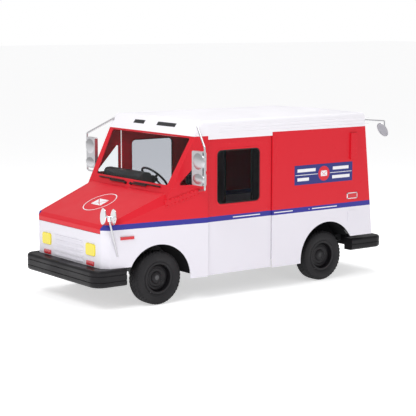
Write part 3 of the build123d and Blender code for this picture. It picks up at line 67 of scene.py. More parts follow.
world = bpy.data.worlds.new("white_room")
world.use_nodes = True
sky = world.node_tree.nodes["Background"]
sky.inputs["Color"].default_value = (1.0, 1.0, 1.0, 1.0)
sky.inputs["Strength"].default_value = 0.45
white_wall = world.node_tree.nodes.new("ShaderNodeBackground")
white_wall.inputs["Color"].default_value = (1.0, 1.0, 1.0, 1.0)
white_wall.inputs["Strength"].default_value = 1.0
seen = world.node_tree.nodes.new("ShaderNodeLightPath")
pick = world.node_tree.nodes.new("ShaderNodeMixShader")
world.node_tree.links.new(seen.outputs["Is Camera Ray"], pick.inputs[0])
world.node_tree.links.new(sky.outputs[0], pick.inputs[1])
world.node_tree.links.new(white_wall.outputs[0], pick.inputs[2])
world.node_tree.links.new(pick.outputs[0], world.node_tree.nodes["World Output"].inputs[0])
bpy.context.scene.world = world


def soft_panel(name, place, aim, width, height, watts):
    """Area light of that size, facing aim."""
    light = bpy.data.lights.new(name, "AREA")
    light.shape = "RECTANGLE"
    light.size = width
    light.size_y = height
    light.energy = watts
    panel = bpy.data.objects.new(name, light)
    panel.location = place
    panel.rotation_euler = (Vector(place) - Vector(aim)).to_track_quat("Z", "Y").to_euler()
    bpy.context.scene.collection.objects.link(panel)


soft_panel("key_panel", (3.5, -7.0, 7.0), (0.0, -0.6, 1.0), 3.5, 3.0, 290.0)
soft_panel("side_panel", (8.5, 1.0, 5.5), (0.6, 0.4, 1.0), 4.0, 2.5, 60.0)
soft_panel("top_panel", (-1.0, 1.0, 8.0), (0.0, 0.2, 1.0), 6.0, 6.0, 320.0)


def plain(name, colour, roughness, metallic=0.0, clear=0.0, specular=0.5):
    """Material with one even finish; colour is linear red, green and blue."""
    material = bpy.data.materials.new(name)
    material.use_nodes = True
    shader = material.node_tree.nodes["Principled BSDF"]
    shader.inputs["Base Color"].default_value = (*colour, 1.0)
    shader.inputs["Roughness"].default_value = roughness
    shader.inputs["Metallic"].default_value = metallic
    shader.inputs["Coat Weight"].default_value = clear
    shader.inputs["Coat Roughness"].default_value = 0.12
    shader.inputs["Specular IOR Level"].default_value = specular
    return material


def object_of(shape, name):
    """Object made from a bmesh, standing at the origin with its place in its mesh."""
    mesh = bpy.data.meshes.new(name)
    shape.to_mesh(mesh)
    shape.free()
    piece = bpy.data.objects.new(name, mesh)
    bpy.context.scene.collection.objects.link(piece)
    return piece


def dress(piece, material, body, smooth=True):
    """Gives a new piece its material and its body, and smooths its shading unless told not to."""
    piece.data.materials.append(material)
    if smooth:
        piece.data.shade_smooth()
        piece.data.set_sharp_from_angle(angle=math.radians(35))
    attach(piece, body)
    return piece


floor_shape = bmesh.new()
bmesh.ops.create_grid(floor_shape, x_segments=1, y_segments=1, size=150.0)
floor = object_of(floor_shape, "studio_floor")
floor_white = plain("floor_white", (0.90, 0.90, 0.91), 0.9, specular=0.1)
floor_glow = floor_white.node_tree.nodes["Principled BSDF"]
floor_glow.inputs["Emission Color"].default_value = (1.0, 1.0, 1.0, 1.0)
floor_glow.inputs["Emission Strength"].default_value = 0.55
floor.data.materials.append(floor_white)

# ---------------------------------------------------------------- shared paint effects
# Sprayed enamel is never quite even: it has a fine orange-peel skin and a slightly patchy gloss.
# The livery is masked by height: white below, a blue line at the belt, red above.
belt_low = 0.935
belt_high = 0.998
red = (0.700, 0.008, 0.022)
blue = (0.030, 0.030, 0.300)
white = (0.800, 0.780, 0.845)
# A lighter copy of the body white for the roof: its extra lightness is painted light.
roof_white_painted_light = (0.900, 0.885, 0.930)


def effect_group(name, inputs, outputs):
    """Empty shader group; inputs and outputs are (name, socket type, default) rows."""
    group = bpy.data.node_groups.new(name, "ShaderNodeTree")
    for label, kind, value in inputs:
        socket = group.interface.new_socket(name=label, in_out="INPUT", socket_type=kind)
        if value is not None:
            socket.default_value = value
    for label, kind in outputs:
        group.interface.new_socket(name=label, in_out="OUTPUT", socket_type=kind)
    start = group.nodes.new("NodeGroupInput")
    end = group.nodes.new("NodeGroupOutput")
    return group, start, end


belt_paint, start, end = effect_group(
    "belt_paint",
    [
        ("Place", "NodeSocketVector", None),
        ("Above", "NodeSocketColor", (*red, 1.0)),
        ("Belt", "NodeSocketColor", (*blue, 1.0)),
        ("Below", "NodeSocketColor", (*white, 1.0)),
    ],
    [("Color", "NodeSocketColor")],
)
split = belt_paint.nodes.new("ShaderNodeSeparateXYZ")
belt_paint.links.new(start.outputs["Place"], split.inputs[0])
over_low = belt_paint.nodes.new("ShaderNodeMath")
over_low.operation = "GREATER_THAN"
over_low.inputs[1].default_value = belt_low
belt_paint.links.new(split.outputs["Z"], over_low.inputs[0])
over_high = belt_paint.nodes.new("ShaderNodeMath")
over_high.operation = "GREATER_THAN"
over_high.inputs[1].default_value = belt_high
belt_paint.links.new(split.outputs["Z"], over_high.inputs[0])
lower_mix = belt_paint.nodes.new("ShaderNodeMix")
lower_mix.data_type = "RGBA"
belt_paint.links.new(over_low.outputs[0], lower_mix.inputs["Factor"])
belt_paint.links.new(start.outputs["Below"], lower_mix.inputs[6])
belt_paint.links.new(start.outputs["Belt"], lower_mix.inputs[7])
upper_mix = belt_paint.nodes.new("ShaderNodeMix")
upper_mix.data_type = "RGBA"
belt_paint.links.new(over_high.outputs[0], upper_mix.inputs["Factor"])
belt_paint.links.new(lower_mix.outputs[2], upper_mix.inputs[6])
belt_paint.links.new(start.outputs["Above"], upper_mix.inputs[7])
belt_paint.links.new(upper_mix.outputs[2], end.inputs["Color"])

fine_grain, start, end = effect_group(
    "fine_grain",
    [
        ("Place", "NodeSocketVector", None),
        ("Scale", "NodeSocketFloat", 60.0),
        ("Low", "NodeSocketFloat", 0.3),
        ("High", "NodeSocketFloat", 0.4),
    ],
    [("Roughness", "NodeSocketFloat"), ("Height", "NodeSocketFloat")],
)
speckle = fine_grain.nodes.new("ShaderNodeTexNoise")
speckle.inputs["Detail"].default_value = 3.0
fine_grain.links.new(start.outputs["Place"], speckle.inputs["Vector"])
fine_grain.links.new(start.outputs["Scale"], speckle.inputs["Scale"])
patch = fine_grain.nodes.new("ShaderNodeTexNoise")
patch.inputs["Scale"].default_value = 3.0
fine_grain.links.new(start.outputs["Place"], patch.inputs["Vector"])
spread = fine_grain.nodes.new("ShaderNodeMapRange")
spread.inputs["From Min"].default_value = 0.35
spread.inputs["From Max"].default_value = 0.65
fine_grain.links.new(patch.outputs["Fac"], spread.inputs["Value"])
fine_grain.links.new(start.outputs["Low"], spread.inputs["To Min"])
fine_grain.links.new(start.outputs["High"], spread.inputs["To Max"])
fine_grain.links.new(spread.outputs["Result"], end.inputs["Roughness"])
fine_grain.links.new(speckle.outputs["Fac"], end.inputs["Height"])


def grained(material, scale, low, high, depth):
    """Adds the fine grain to a material: uneven roughness, and a bump of that depth in metres."""
    tree = material.node_tree
    shader = tree.nodes["Principled BSDF"]
    place = tree.nodes.new("ShaderNodeTexCoord")
    grain = tree.nodes.new("ShaderNodeGroup")
    grain.node_tree = fine_grain
    grain.inputs["Scale"].default_value = scale
    grain.inputs["Low"].default_value = low
    grain.inputs["High"].default_value = high
    tree.links.new(place.outputs["Object"], grain.inputs["Place"])
    tree.links.new(grain.outputs["Roughness"], shader.inputs["Roughness"])
    bump = tree.nodes.new("ShaderNodeBump")
    bump.inputs["Strength"].default_value = 0.35
    bump.inputs["Distance"].default_value = depth
    tree.links.new(grain.outputs["Height"], bump.inputs["Height"])
    tree.links.new(bump.outputs["Normal"], shader.inputs["Normal"])
    return place


def enamel(name, colour=None):
    """Glossy sprayed enamel in one colour, or in the three belt colours when none is given."""
    material = plain(name, colour or red, 0.36, clear=0.06, specular=0.3)
    place = grained(material, 130.0, 0.32, 0.42, 0.0006)
    if colour is None:
        tree = material.node_tree
        belt = tree.nodes.new("ShaderNodeGroup")
        belt.node_tree = belt_paint
        belt.inputs["Above"].default_value = (*red, 1.0)
        belt.inputs["Belt"].default_value = (*blue, 1.0)
        belt.inputs["Below"].default_value = (*white, 1.0)
        tree.links.new(place.outputs["Object"], belt.inputs["Place"])
        tree.links.new(belt.outputs["Color"], tree.nodes["Principled BSDF"].inputs["Base Color"])
    return material


def coat(material, *names):
    """Gives CAD nodes this material."""
    for name in names:
        node[name].data.materials.clear()
        node[name].data.materials.append(material)


side_enamel = enamel("side_enamel")
red_enamel = enamel("red_enamel", red)
white_enamel = enamel("white_enamel", white)
# Roof enamel in the lighter white, which is painted light.
roof_enamel_painted_light = enamel("roof_enamel_painted_light", roof_white_painted_light)

# ---------------------------------------------------------------- body skins
# Pressed and riveted aluminium panels. Fenders, doors and cargo walls carry the three-colour livery,
# the hood and cab frame are red, and the nose, roof, door tracks and rear frame are white. The roof and
# door tracks take a lighter copy of that white, and its extra lightness is painted light.
coat(side_enamel, "fender_left", "fender_right", "side_door_left", "side_door_right")
coat(side_enamel, "cargo_side_left", "cargo_side_right", "fuel_flap")
coat(red_enamel, "hood", "cab_frame")
coat(white_enamel, "nose_panel", "rear_frame", "rear_door_rail")
coat(roof_enamel_painted_light, "roof", "door_tracks")

# ---------------------------------------------------------------- rivets
# Solid aluminium rivets, painted with the panels they hold. Their rows follow the seams.


def touch(name, start, direction):
    """Point and outward direction where a line from start first meets a CAD node."""
    hit, spot, normal, _ = node[name].ray_cast(Vector(start), Vector(direction))
    if not hit:
        raise ValueError(f"nothing of {name} lies along the line from {start}")
    if normal.dot(Vector(direction)) > 0:
        normal = -normal
    return spot, normal


rivet_radius = 0.0088
rivet_squeeze = 0.46


def rivet_row(shape, name, side, first, last, count):
    """Row of low domed heads on a side panel, from (y, z) first to last."""
    for step in range(count):
        share = step / max(count - 1, 1)
        y = first[0] + (last[0] - first[0]) * share
        z = first[1] + (last[1] - first[1]) * share
        spot, normal = touch(name, (side * 1.2, y, z), (-side, 0.0, 0.0))
        turn = normal.to_track_quat("Z", "Y").to_matrix().to_4x4()
        squeeze = Matrix.Diagonal((1.0, 1.0, rivet_squeeze, 1.0))
        bmesh.ops.create_uvsphere(
            shape,
            u_segments=8,
            v_segments=5,
            radius=rivet_radius,
            matrix=Matrix.Translation(spot) @ turn @ squeeze,
        )


for side, hand in ((1, "left"), (-1, "right")):
    door_rivets = bmesh.new()
    door = "side_door_" + hand
    for column_y in (-0.690, -0.652):
        rivet_row(door_rivets, door, side, (column_y, 1.030), (column_y, 1.885), 20)
    for column_y in (0.190, 0.232):
        rivet_row(door_rivets, door, side, (column_y, 1.030), (column_y, 1.885), 20)
    rivet_row(door_rivets, door, side, (-0.560, 1.868), (0.090, 1.868), 12)
    dress(object_of(door_rivets, "door_rivets_" + hand), side_enamel, hand + "_door")

    cargo_rivets = bmesh.new()
    cargo = "cargo_side_" + hand
    rivet_row(cargo_rivets, cargo, side, (0.292, 0.420), (0.292, 1.915), 34)
    rivet_row(cargo_rivets, cargo, side, (0.335, 1.480), (0.335, 1.915), 10)
    for row_z in (1.225, 1.700):
        rivet_row(cargo_rivets, cargo, side, (0.752, row_z), (1.297, row_z), 2)
    for row_z in (1.245, 1.460, 1.686):
        rivet_row(cargo_rivets, cargo, side, (1.758, row_z), (1.758, row_z), 1)
    for row_z in (0.700, 0.840):
        rivet_row(cargo_rivets, cargo, side, (0.420, row_z), (0.620, row_z), 2)
    rivet_row(cargo_rivets, cargo, side, (1.580, 1.585), (1.580, 1.865), 6)
    rivet_row(cargo_rivets, cargo, side, (1.642, 1.585), (1.642, 1.865), 6)
    dress(object_of(cargo_rivets, "cargo_rivets_" + hand), side_enamel, "body")

# ---------------------------------------------------------------- trim of the body
# Folded and painted sheet: the lip that closes the gap behind each door, the backing of the grille
# slots, the roof's stiffening ribs and the riveted gussets beside the windshield's foot.


def block_between(shape, low, high):
    """Square block between two corners."""
    made = bmesh.ops.create_cube(shape, size=1.0)
    size = [b - a for a, b in zip(low, high)]
    middle = [(a + b) / 2 for a, b in zip(low, high)]
    bmesh.ops.scale(shape, vec=size, verts=made["verts"])
    bmesh.ops.translate(shape, vec=middle, verts=made["verts"])


lip_inner_x = 0.9402
lip_outer_x = 0.9443
lips = bmesh.new()
for side in (1, -1):
    inner, outer = sorted((side * lip_inner_x, side * lip_outer_x))
    block_between(lips, (inner, 0.2662, 0.395), (outer, 0.2715, 1.966))
dress(object_of(lips, "door_lips"), side_enamel, "body", smooth=False)

backing = bmesh.new()
block_between(backing, (-0.330, -2.0766, 0.505), (0.330, -2.0722, 0.775))
dress(object_of(backing, "grille_backing"), white_enamel, "body", smooth=False)

rib_radius = 0.0045
rib_length = 2.42
ribs = bmesh.new()
for side in (1, -1):
    for rib_z in (2.000, 2.038, 2.076):
        spot = touch("roof", (side * 1.2, 0.6, rib_z), (-side, 0.0, 0.0))[0]
        bmesh.ops.create_cone(
            ribs,
            cap_ends=True,
            segments=12,
            radius1=rib_radius,
            radius2=rib_radius,
            depth=rib_length,
            matrix=Matrix.Translation((spot.x, 0.66, rib_z)) @ Matrix.Rotation(math.pi / 2, 4, "X"),
        )
# The roof's ribs wear the lighter white, which is painted light.
dress(object_of(ribs, "roof_ribs"), roof_enamel_painted_light, "body")

gusset_width = 0.080
gusset_thickness = 0.014
gusset_rivets = 9
gussets = bmesh.new()
for side in (1, -1):
    ends = []
    for y, z in ((-1.290, 1.195), (-0.830, 1.318)):
        for name in ("fender_" + ("left" if side > 0 else "right"), "cab_frame"):
            hit, spot, normal, _ = node[name].ray_cast(Vector((side * 1.3, y, z)), Vector((-side, 0.0, 0.0)))
            if hit:
                ends.append((spot, normal))
                break
    if len(ends) != 2:
        raise ValueError("a gusset has nothing to stand on at one of its ends")
    along = (ends[1][0] - ends[0][0]).normalized()
    away = ends[0][1].normalized()
    up = away.cross(along).normalized() * side
    away = along.cross(up).normalized() * side
    middle = (ends[0][0] + ends[1][0]) / 2
    axes = Matrix((along, up, away)).transposed().to_4x4()
    slab = bmesh.ops.create_cube(gussets, size=1.0)
    length = (ends[1][0] - ends[0][0]).length
    bmesh.ops.scale(gussets, vec=(length, gusset_width, gusset_thickness), verts=slab["verts"])
    bmesh.ops.transform(gussets, matrix=Matrix.Translation(middle) @ axes, verts=slab["verts"])
    for step in range(gusset_rivets):
        for across in (-0.026, 0.026):
            reach = (step / (gusset_rivets - 1) - 0.5) * (length - 0.05)
            head_place = Matrix.Translation((reach, across, gusset_thickness / 2))
            bmesh.ops.create_uvsphere(
                gussets,
                u_segments=8,
                v_segments=5,
                radius=0.010,
                matrix=Matrix.Translation(middle) @ axes @ head_place,
            )
bmesh.ops.recalc_face_normals(gussets, faces=gussets.faces)
dress(object_of(gussets, "cowl_gussets"), red_enamel, "body")

# ---------------------------------------------------------------- window surrounds
# Rounded rings in a flat sheet's axes: a pressed lip round each door window, painted with the
# door, and a dark rubber seal at the edge of the door glass.


def framed_ring(name, corners, place, radius, width, low, high, edge):
    """Flat ring with rounded corners, its outer outline through corners, its top edges rounded."""
    ring = bmesh.new()
    made = [ring.verts.new((x, y, low)) for x, y in corners]
    ring.faces.new(made)
    bmesh.ops.bevel(
        ring,
        geom=made,
        affect="VERTICES",
        offset=radius,
        offset_type="OFFSET",
        segments=8,
        profile=0.5,
        material=-1,
    )
    bmesh.ops.recalc_face_normals(ring, faces=ring.faces)
    ring.faces.ensure_lookup_table()
    middle = ring.faces[0]
    bmesh.ops.inset_region(ring, faces=[middle], thickness=width, use_boundary=True, use_even_offset=True)
    bmesh.ops.delete(ring, geom=[middle], context="FACES_ONLY")
    raised = bmesh.ops.extrude_face_region(ring, geom=ring.faces[:])
    top = [g for g in raised["geom"] if isinstance(g, bmesh.types.BMVert)]
    bmesh.ops.translate(ring, vec=(0.0, 0.0, high - low), verts=top)
    bmesh.ops.recalc_face_normals(ring, faces=ring.faces)
    rims = [
        e
        for e in ring.edges
        if all(v.co.z > high - 1e-6 for v in e.verts) and len(e.link_faces) == 2 and e.calc_face_angle() > 0.7
    ]
    bmesh.ops.bevel(
        ring,
        geom=rims,
        affect="EDGES",
        offset=edge,
        offset_type="OFFSET",
        segments=3,
        profile=0.5,
        material=-1,
    )
    bmesh.ops.transform(ring, matrix=place, verts=ring.verts)
    bmesh.ops.recalc_face_normals(ring, faces=ring.faces)
    return object_of(ring, name)


gasket_dark = plain("gasket_dark", (0.020, 0.020, 0.022), 0.55, specular=0.3)
for side, hand in ((1, "left"), (-1, "right")):
    glass_low, glass_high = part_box("door_glass_" + hand)
    middle_y = (glass_low[1] + glass_high[1]) / 2
    middle_z = (glass_low[2] + glass_high[2]) / 2
    half_y = (glass_high[1] - glass_low[1]) / 2
    half_z = (glass_high[2] - glass_low[2]) / 2
    turn = Matrix(((0.0, 0.0, side), (side, 0.0, 0.0), (0.0, 1.0, 0.0))).to_4x4()
    face_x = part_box("side_door_" + hand)[1 if side > 0 else 0][0]
    place = Matrix.Translation((face_x, middle_y, middle_z)) @ turn
    lip = [(a * (half_y + 0.022), b * (half_z + 0.022)) for a, b in ((-1, -1), (1, -1), (1, 1), (-1, 1))]
    ring = framed_ring("door_window_lip_" + hand, lip, place, 0.085, 0.021, 0.0, 0.0042, 0.0038)
    dress(ring, side_enamel, hand + "_door")
    seal = [(a * (half_y + 0.001), b * (half_z + 0.001)) for a, b in ((-1, -1), (1, -1), (1, 1), (-1, 1))]
    ring = framed_ring("door_window_seal_" + hand, seal, place, 0.064, 0.014, -0.012, -0.002, 0.003)
    dress(ring, gasket_dark, hand + "_door")

# ---------------------------------------------------------------- livery plates
# Thin self-adhesive film. A navy plate on each cargo wall carries a red disc with a plain envelope,
# and plain white bars stand where words would be. The hood has a white ring with the same envelope,
# and the brow two plain dark bars.
film = 0.0008
navy_film = plain("navy_film", (0.030, 0.036, 0.205), 0.38, clear=0.06, specular=0.3)
white_film = plain("white_film", (0.880, 0.870, 0.900), 0.40, clear=0.06, specular=0.3)
red_film = plain("red_film", (0.720, 0.020, 0.038), 0.38, clear=0.06, specular=0.3)
dark_film = plain("dark_film", (0.020, 0.020, 0.024), 0.42)


def sheet_block(shape, width, height, thickness, lift, place):
    """Flat block in a sheet's own axes, its back lift above the sheet, then moved by place."""
    made = bmesh.ops.create_cube(shape, size=1.0)
    bmesh.ops.scale(shape, vec=(width, height, thickness), verts=made["verts"])
    bmesh.ops.translate(shape, vec=(0.0, 0.0, lift + thickness / 2), verts=made["verts"])
    bmesh.ops.transform(shape, matrix=place, verts=made["verts"])


def envelope(shape, width, height, place, lift):
    """Plain envelope: a rectangle in two halves with the flap's two folds left open between them."""
    gap = width * 0.035
    half_w = width / 2
    half_h = height / 2
    outlines = (
        ((-half_w, half_h), (half_w, half_h), (0.0, -half_h * 0.1)),
        ((-half_w, half_h - 2 * gap), (-gap, -half_h * 0.1 - gap), (-half_w, -half_h)),
        ((half_w, half_h - 2 * gap), (half_w, -half_h), (gap, -half_h * 0.1 - gap)),
        ((-half_w + gap, -half_h), (-gap * 0.3, -half_h * 0.1 - 2.2 * gap), (half_w - gap, -half_h)),
    )
    for outline in outlines:
        corners = [shape.verts.new((x, y, lift)) for x, y in outline]
        face = shape.faces.new(corners)
        raised = bmesh.ops.extrude_face_region(shape, geom=[face])
        top = [g for g in raised["geom"] if isinstance(g, bmesh.types.BMVert)]
        bmesh.ops.translate(shape, vec=(0.0, 0.0, film), verts=top)
        bmesh.ops.transform(shape, matrix=place, verts=list({*corners, *top}))
    bmesh.ops.recalc_face_normals(shape, faces=shape.faces)


def side_sheet(side, y, z, x):
    """Axes of a flat sheet on a side wall: across it towards the reader's right, up, and outwards."""
    turn = Matrix(((0.0, 0.0, side), (side, 0.0, 0.0), (0.0, 1.0, 0.0))).to_4x4()
    return Matrix.Translation((side * x, y, z)) @ turn


wall_x = touch("cargo_side_left", (1.2, 1.1, 1.4), (-1.0, 0.0, 0.0))[0].x
plate_y = 1.1125
plate_z = 1.403
for side, hand in ((1, "left"), (-1, "right")):
    place = side_sheet(side, plate_y, plate_z, wall_x)
    plate = bmesh.new()
    sheet_block(plate, 0.975, 0.246, film, 0.0002, place)
    dress(object_of(plate, "cargo_plate_" + hand), navy_film, "body")

    disc = bmesh.new()
    bmesh.ops.create_cone(
        disc,
        cap_ends=True,
        segments=48,
        radius1=0.094,
        radius2=0.094,
        depth=film,
        matrix=place @ Matrix.Translation((0.0, 0.0, 0.0002 + film * 1.5)),
    )
    dress(object_of(disc, "cargo_disc_" + hand), red_film, "body")

    marks = bmesh.new()
    for across, up, length in (
        (-0.290, 0.056, 0.300),
        (-0.345, -0.056, 0.190),
        (0.285, 0.056, 0.270),
        (0.290, -0.056, 0.300),
    ):
        sheet_block(marks, length, 0.040, film, 0.0002 + film, place @ Matrix.Translation((across, up, 0.0)))
    for across in (-0.288, 0.288):
        sheet_block(marks, 0.370, 0.007, film, 0.0002 + film, place @ Matrix.Translation((across, 0.0, 0.0)))
    envelope(marks, 0.105, 0.070, place, 0.0002 + 2 * film)
    dress(object_of(marks, "cargo_marks_" + hand), white_film, "body", smooth=False)

    dashes = bmesh.new()
    for y, length in ((0.450, 0.300), (0.870, 0.010), (1.130, 0.420)):
        sheet_block(dashes, length, 0.012, film, 0.0002, side_sheet(side, y, 0.966, wall_x))
    dress(object_of(dashes, "belt_dashes_" + hand), white_film, "body", smooth=False)

    door_x = abs(touch("side_door_" + hand, (side * 1.2, -0.1, 0.966), (-side, 0.0, 0.0))[0].x)
    door_dash = bmesh.new()
    sheet_block(door_dash, 0.420, 0.012, film, 0.0002, side_sheet(side, -0.120, 0.966, door_x))
    dress(object_of(door_dash, "door_dash_" + hand), white_film, hand + "_door", smooth=False)

spot, up = touch("hood", (0.0, -1.633, 2.0), (0.0, 0.0, -1.0))
across = Vector((1.0, 0.0, 0.0))
away = up.cross(across).normalized()
hood_place = Matrix.Translation(spot) @ Matrix((across, away, up)).transposed().to_4x4()
ring = bmesh.new()
bmesh.ops.create_circle(ring, cap_ends=False, segments=96, radius=0.207)
inner = [v for v in ring.verts]
grown = bmesh.ops.extrude_edge_only(ring, edges=list(ring.edges))
outer = [g for g in grown["geom"] if isinstance(g, bmesh.types.BMVert)]
bmesh.ops.scale(ring, vec=(0.219 / 0.207, 0.219 / 0.207, 1.0), verts=outer)
bmesh.ops.recalc_face_normals(ring, faces=ring.faces)
bmesh.ops.solidify(ring, geom=list(ring.faces), thickness=film)
bmesh.ops.translate(ring, vec=(0.0, 0.0, 0.0012), verts=ring.verts)
bmesh.ops.transform(ring, matrix=hood_place, verts=ring.verts)
bmesh.ops.recalc_face_normals(ring, faces=ring.faces)
dress(object_of(ring, "hood_ring"), white_film, "hood", smooth=False)
hood_mark = bmesh.new()
envelope(hood_mark, 0.215, 0.140, hood_place, 0.0008)
dress(object_of(hood_mark, "hood_envelope"), white_film, "hood", smooth=False)

brow_bars = bmesh.new()
spot, out = touch("roof", (0.0, -1.4, 2.070), (0.0, 1.0, 0.0))
across = Vector((1.0, 0.0, 0.0))
rise = out.cross(across).normalized()
brow_place = Matrix.Translation(spot) @ Matrix((across, rise, out)).transposed().to_4x4()
for x, length in ((-0.335, 0.230), (0.255, 0.390)):
    sheet_block(brow_bars, length, 0.052, film, 0.0004, brow_place @ Matrix.Translation((x, 0.0, 0.0)))
dress(object_of(brow_bars, "brow_bars"), dark_film, "body", smooth=False)

# ---------------------------------------------------------------- lamps
# Moulded lenses: yellow headlamps with rounded corners, red turn signals, markers and tail lamps.
# A white painted frame surrounds each rear side marker.
lamp_yellow = plain("lamp_yellow", (0.905, 0.760, 0.045), 0.22, clear=0.3)
lamp_red = plain("lamp_red", (0.640, 0.012, 0.024), 0.18, clear=0.3)
coat(lamp_yellow, "headlamps")
coat(lamp_red, "signal_lamps")
surrounds = bmesh.new()
for side in (1, -1):
    inner, outer = sorted((side * 0.9527, side * 0.9590))
    for low, high in (
        ((1.5090, 1.1095), (1.6890, 1.1210)),
        ((1.5090, 1.0410), (1.6890, 1.0525)),
        ((1.5090, 1.0410), (1.5235, 1.1210)),
        ((1.6745, 1.0410), (1.6890, 1.1210)),
    ):
        block_between(surrounds, (inner, low[0], low[1]), (outer, high[0], high[1]))
dress(object_of(surrounds, "marker_surrounds"), white_film, "body", smooth=False)

# ---------------------------------------------------------------- bumpers and arch liners
# Steel channels faced with black rubber, grooved along their length, and moulded black arch liners.
bumper_rubber = plain("bumper_rubber", (0.010, 0.009, 0.011), 0.36, specular=0.22)
grained(bumper_rubber, 220.0, 0.34, 0.50, 0.0008)
liner_black = plain("liner_black", (0.006, 0.006, 0.007), 0.8, specular=0.1)
coat(bumper_rubber, "front_bumper", "rear_bumper")
coat(liner_black, "arch_liners")

# ---------------------------------------------------------------- glass
# Flat laminated windshield and quarter windows, clear, and grey glass in the sliding doors, whose grey is
# painted shade for the dim cab seen through it.


def pane(name, tint_and_painted_shade, roughness):
    """Glass of one colour; for the door glass that colour is painted shade."""
    material = plain(name, tint_and_painted_shade, roughness)
    shader = material.node_tree.nodes["Principled BSDF"]
    shader.inputs["Transmission Weight"].default_value = 1.0
    shader.inputs["IOR"].default_value = 1.15
    return material


coat(pane("clear_glass", (0.94, 0.96, 0.97), 0.0), "fixed_glass")
# Door glass greyed: painted shade for the dark cab behind it.
coat(pane("door_glass_painted_shade", (0.52, 0.53, 0.57), 0.02), "door_glass_left", "door_glass_right")

# ---------------------------------------------------------------- chassis, axles and engine
# Welded channel frame, leaf springs and arms in satin black, a cast engine and plated or bare metal
# shafts and exhaust.
frame_black = plain("frame_black", (0.018, 0.018, 0.020), 0.5)
cast_metal = plain("cast_metal", (0.11, 0.11, 0.115), 0.6, metallic=0.7)
grained(cast_metal, 90.0, 0.50, 0.70, 0.0015)
bare_metal = plain("bare_metal", (0.40, 0.40, 0.41), 0.38, metallic=1.0)
chrome = plain("chrome", (0.80, 0.81, 0.83), 0.10, metallic=1.0)
coat(frame_black, "chassis_frame", "rear_axle_housing", "suspension", "seat_frame")
coat(frame_black, "brake_pedal", "accelerator_pedal")
coat(cast_metal, "engine", "knuckle_left", "knuckle_right")
coat(bare_metal, "propshaft", "exhaust", "rear_door_drum")
coat(plain("tank_plastic", (0.022, 0.022, 0.024), 0.45), "fuel_tank")
coat(chrome, "rear_door_handle")

# ---------------------------------------------------------------- cab interior
# Dark grained plastic dashboard, column, wheel and letter tray over a painted sheet floor. The floor pan and
# bulkhead are near black, which is painted shade for the dim inside of the cab.
grained_plastic = plain("grained_plastic", (0.034, 0.034, 0.037), 0.55)
grained(grained_plastic, 320.0, 0.48, 0.62, 0.0010)
# Near-black floor pan and bulkhead: painted shade for the inside of the cab.
cab_painted_shade = plain("cab_painted_shade", (0.050, 0.051, 0.054), 0.65)
coat(grained_plastic, "dashboard", "steering_column", "steering_wheel", "mail_tray")
coat(cab_painted_shade, "floor_pan", "bulkhead")

# ---------------------------------------------------------------- wipers
# Painted black arms with rubber blades.
coat(plain("wiper_black", (0.012, 0.012, 0.013), 0.45), "wiper_left", "wiper_right")

# ---------------------------------------------------------------- mirrors
# Bright tube arms, and silver heads that hold two panes each behind two bulging housings. The
# round crossover mirrors at the front corner are chromed.
satin_silver = plain("satin_silver", (0.56, 0.56, 0.58), 0.30, metallic=0.85)
coat(satin_silver, "mirror_arms", "mirror_head_left", "mirror_head_right", "mirror_head_rear")
coat(chrome, "crossover_mirrors")
mirror_silver = plain("mirror_silver", (0.90, 0.91, 0.92), 0.02, metallic=1.0)
for side, hand in ((1, "left"), (-1, "right")):
    head_low, head_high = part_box("mirror_head_" + hand)
    middle_x = (head_low[0] + head_high[0]) / 2
    half_x = (head_high[0] - head_low[0]) / 2
    height = head_high[2] - head_low[2]
    split_z = head_low[2] + height * 0.40
    domes = bmesh.new()
    panes = bmesh.new()
    for foot, top in ((head_low[2], split_z - 0.006), (split_z + 0.006, head_high[2])):
        middle = (middle_x, head_low[1] + 0.016, (foot + top) / 2)
        size = Matrix.Diagonal((half_x - 0.006, 0.032, (top - foot) / 2 - 0.006, 1.0))
        bmesh.ops.create_uvsphere(
            domes, u_segments=32, v_segments=18, radius=1.0, matrix=Matrix.Translation(middle) @ size
        )
        block_between(
            panes,
            (middle_x - half_x + 0.013, head_high[1] - 0.010, foot + 0.012),
            (middle_x + half_x - 0.013, head_high[1] - 0.006, top - 0.012),
        )
    dress(object_of(domes, "mirror_domes_" + hand), satin_silver, hand + "_mirror")
    pane_piece = object_of(panes, "mirror_panes_" + hand)
    dress(pane_piece, mirror_silver, hand + "_mirror", smooth=False)

# ---------------------------------------------------------------- wheels and tyres
# Pressed steel wheels painted black. Each tyre is one profile spun about its axle, with every
# other face of its tread raised as a block.
wheel_paint = plain("wheel_paint", (0.012, 0.011, 0.013), 0.36, specular=0.25)
tyre_black = plain("tyre_black", (0.014, 0.013, 0.015), 0.58, specular=0.3)
grained(tyre_black, 260.0, 0.55, 0.72, 0.0008)
coat(wheel_paint, "wheel_front_left", "wheel_front_right", "wheel_rear_left", "wheel_rear_right")
tyre_profile = (
    (-0.078, 0.194),
    (-0.088, 0.205),
    (-0.0965, 0.232),
    (-0.0965, 0.262),
    (-0.091, 0.290),
    (-0.084, 0.303),
    (-0.068, 0.3125),
    (-0.034, 0.3135),
    (0.0, 0.314),
    (0.034, 0.3135),
    (0.068, 0.3125),
    (0.084, 0.303),
    (0.091, 0.290),
    (0.0965, 0.262),
    (0.0965, 0.232),
    (0.088, 0.205),
    (0.078, 0.194),
)
tyre_steps = 84
lane_width = 0.034
tread_from = 0.292
block_gap = 0.0022
block_height = 0.0052
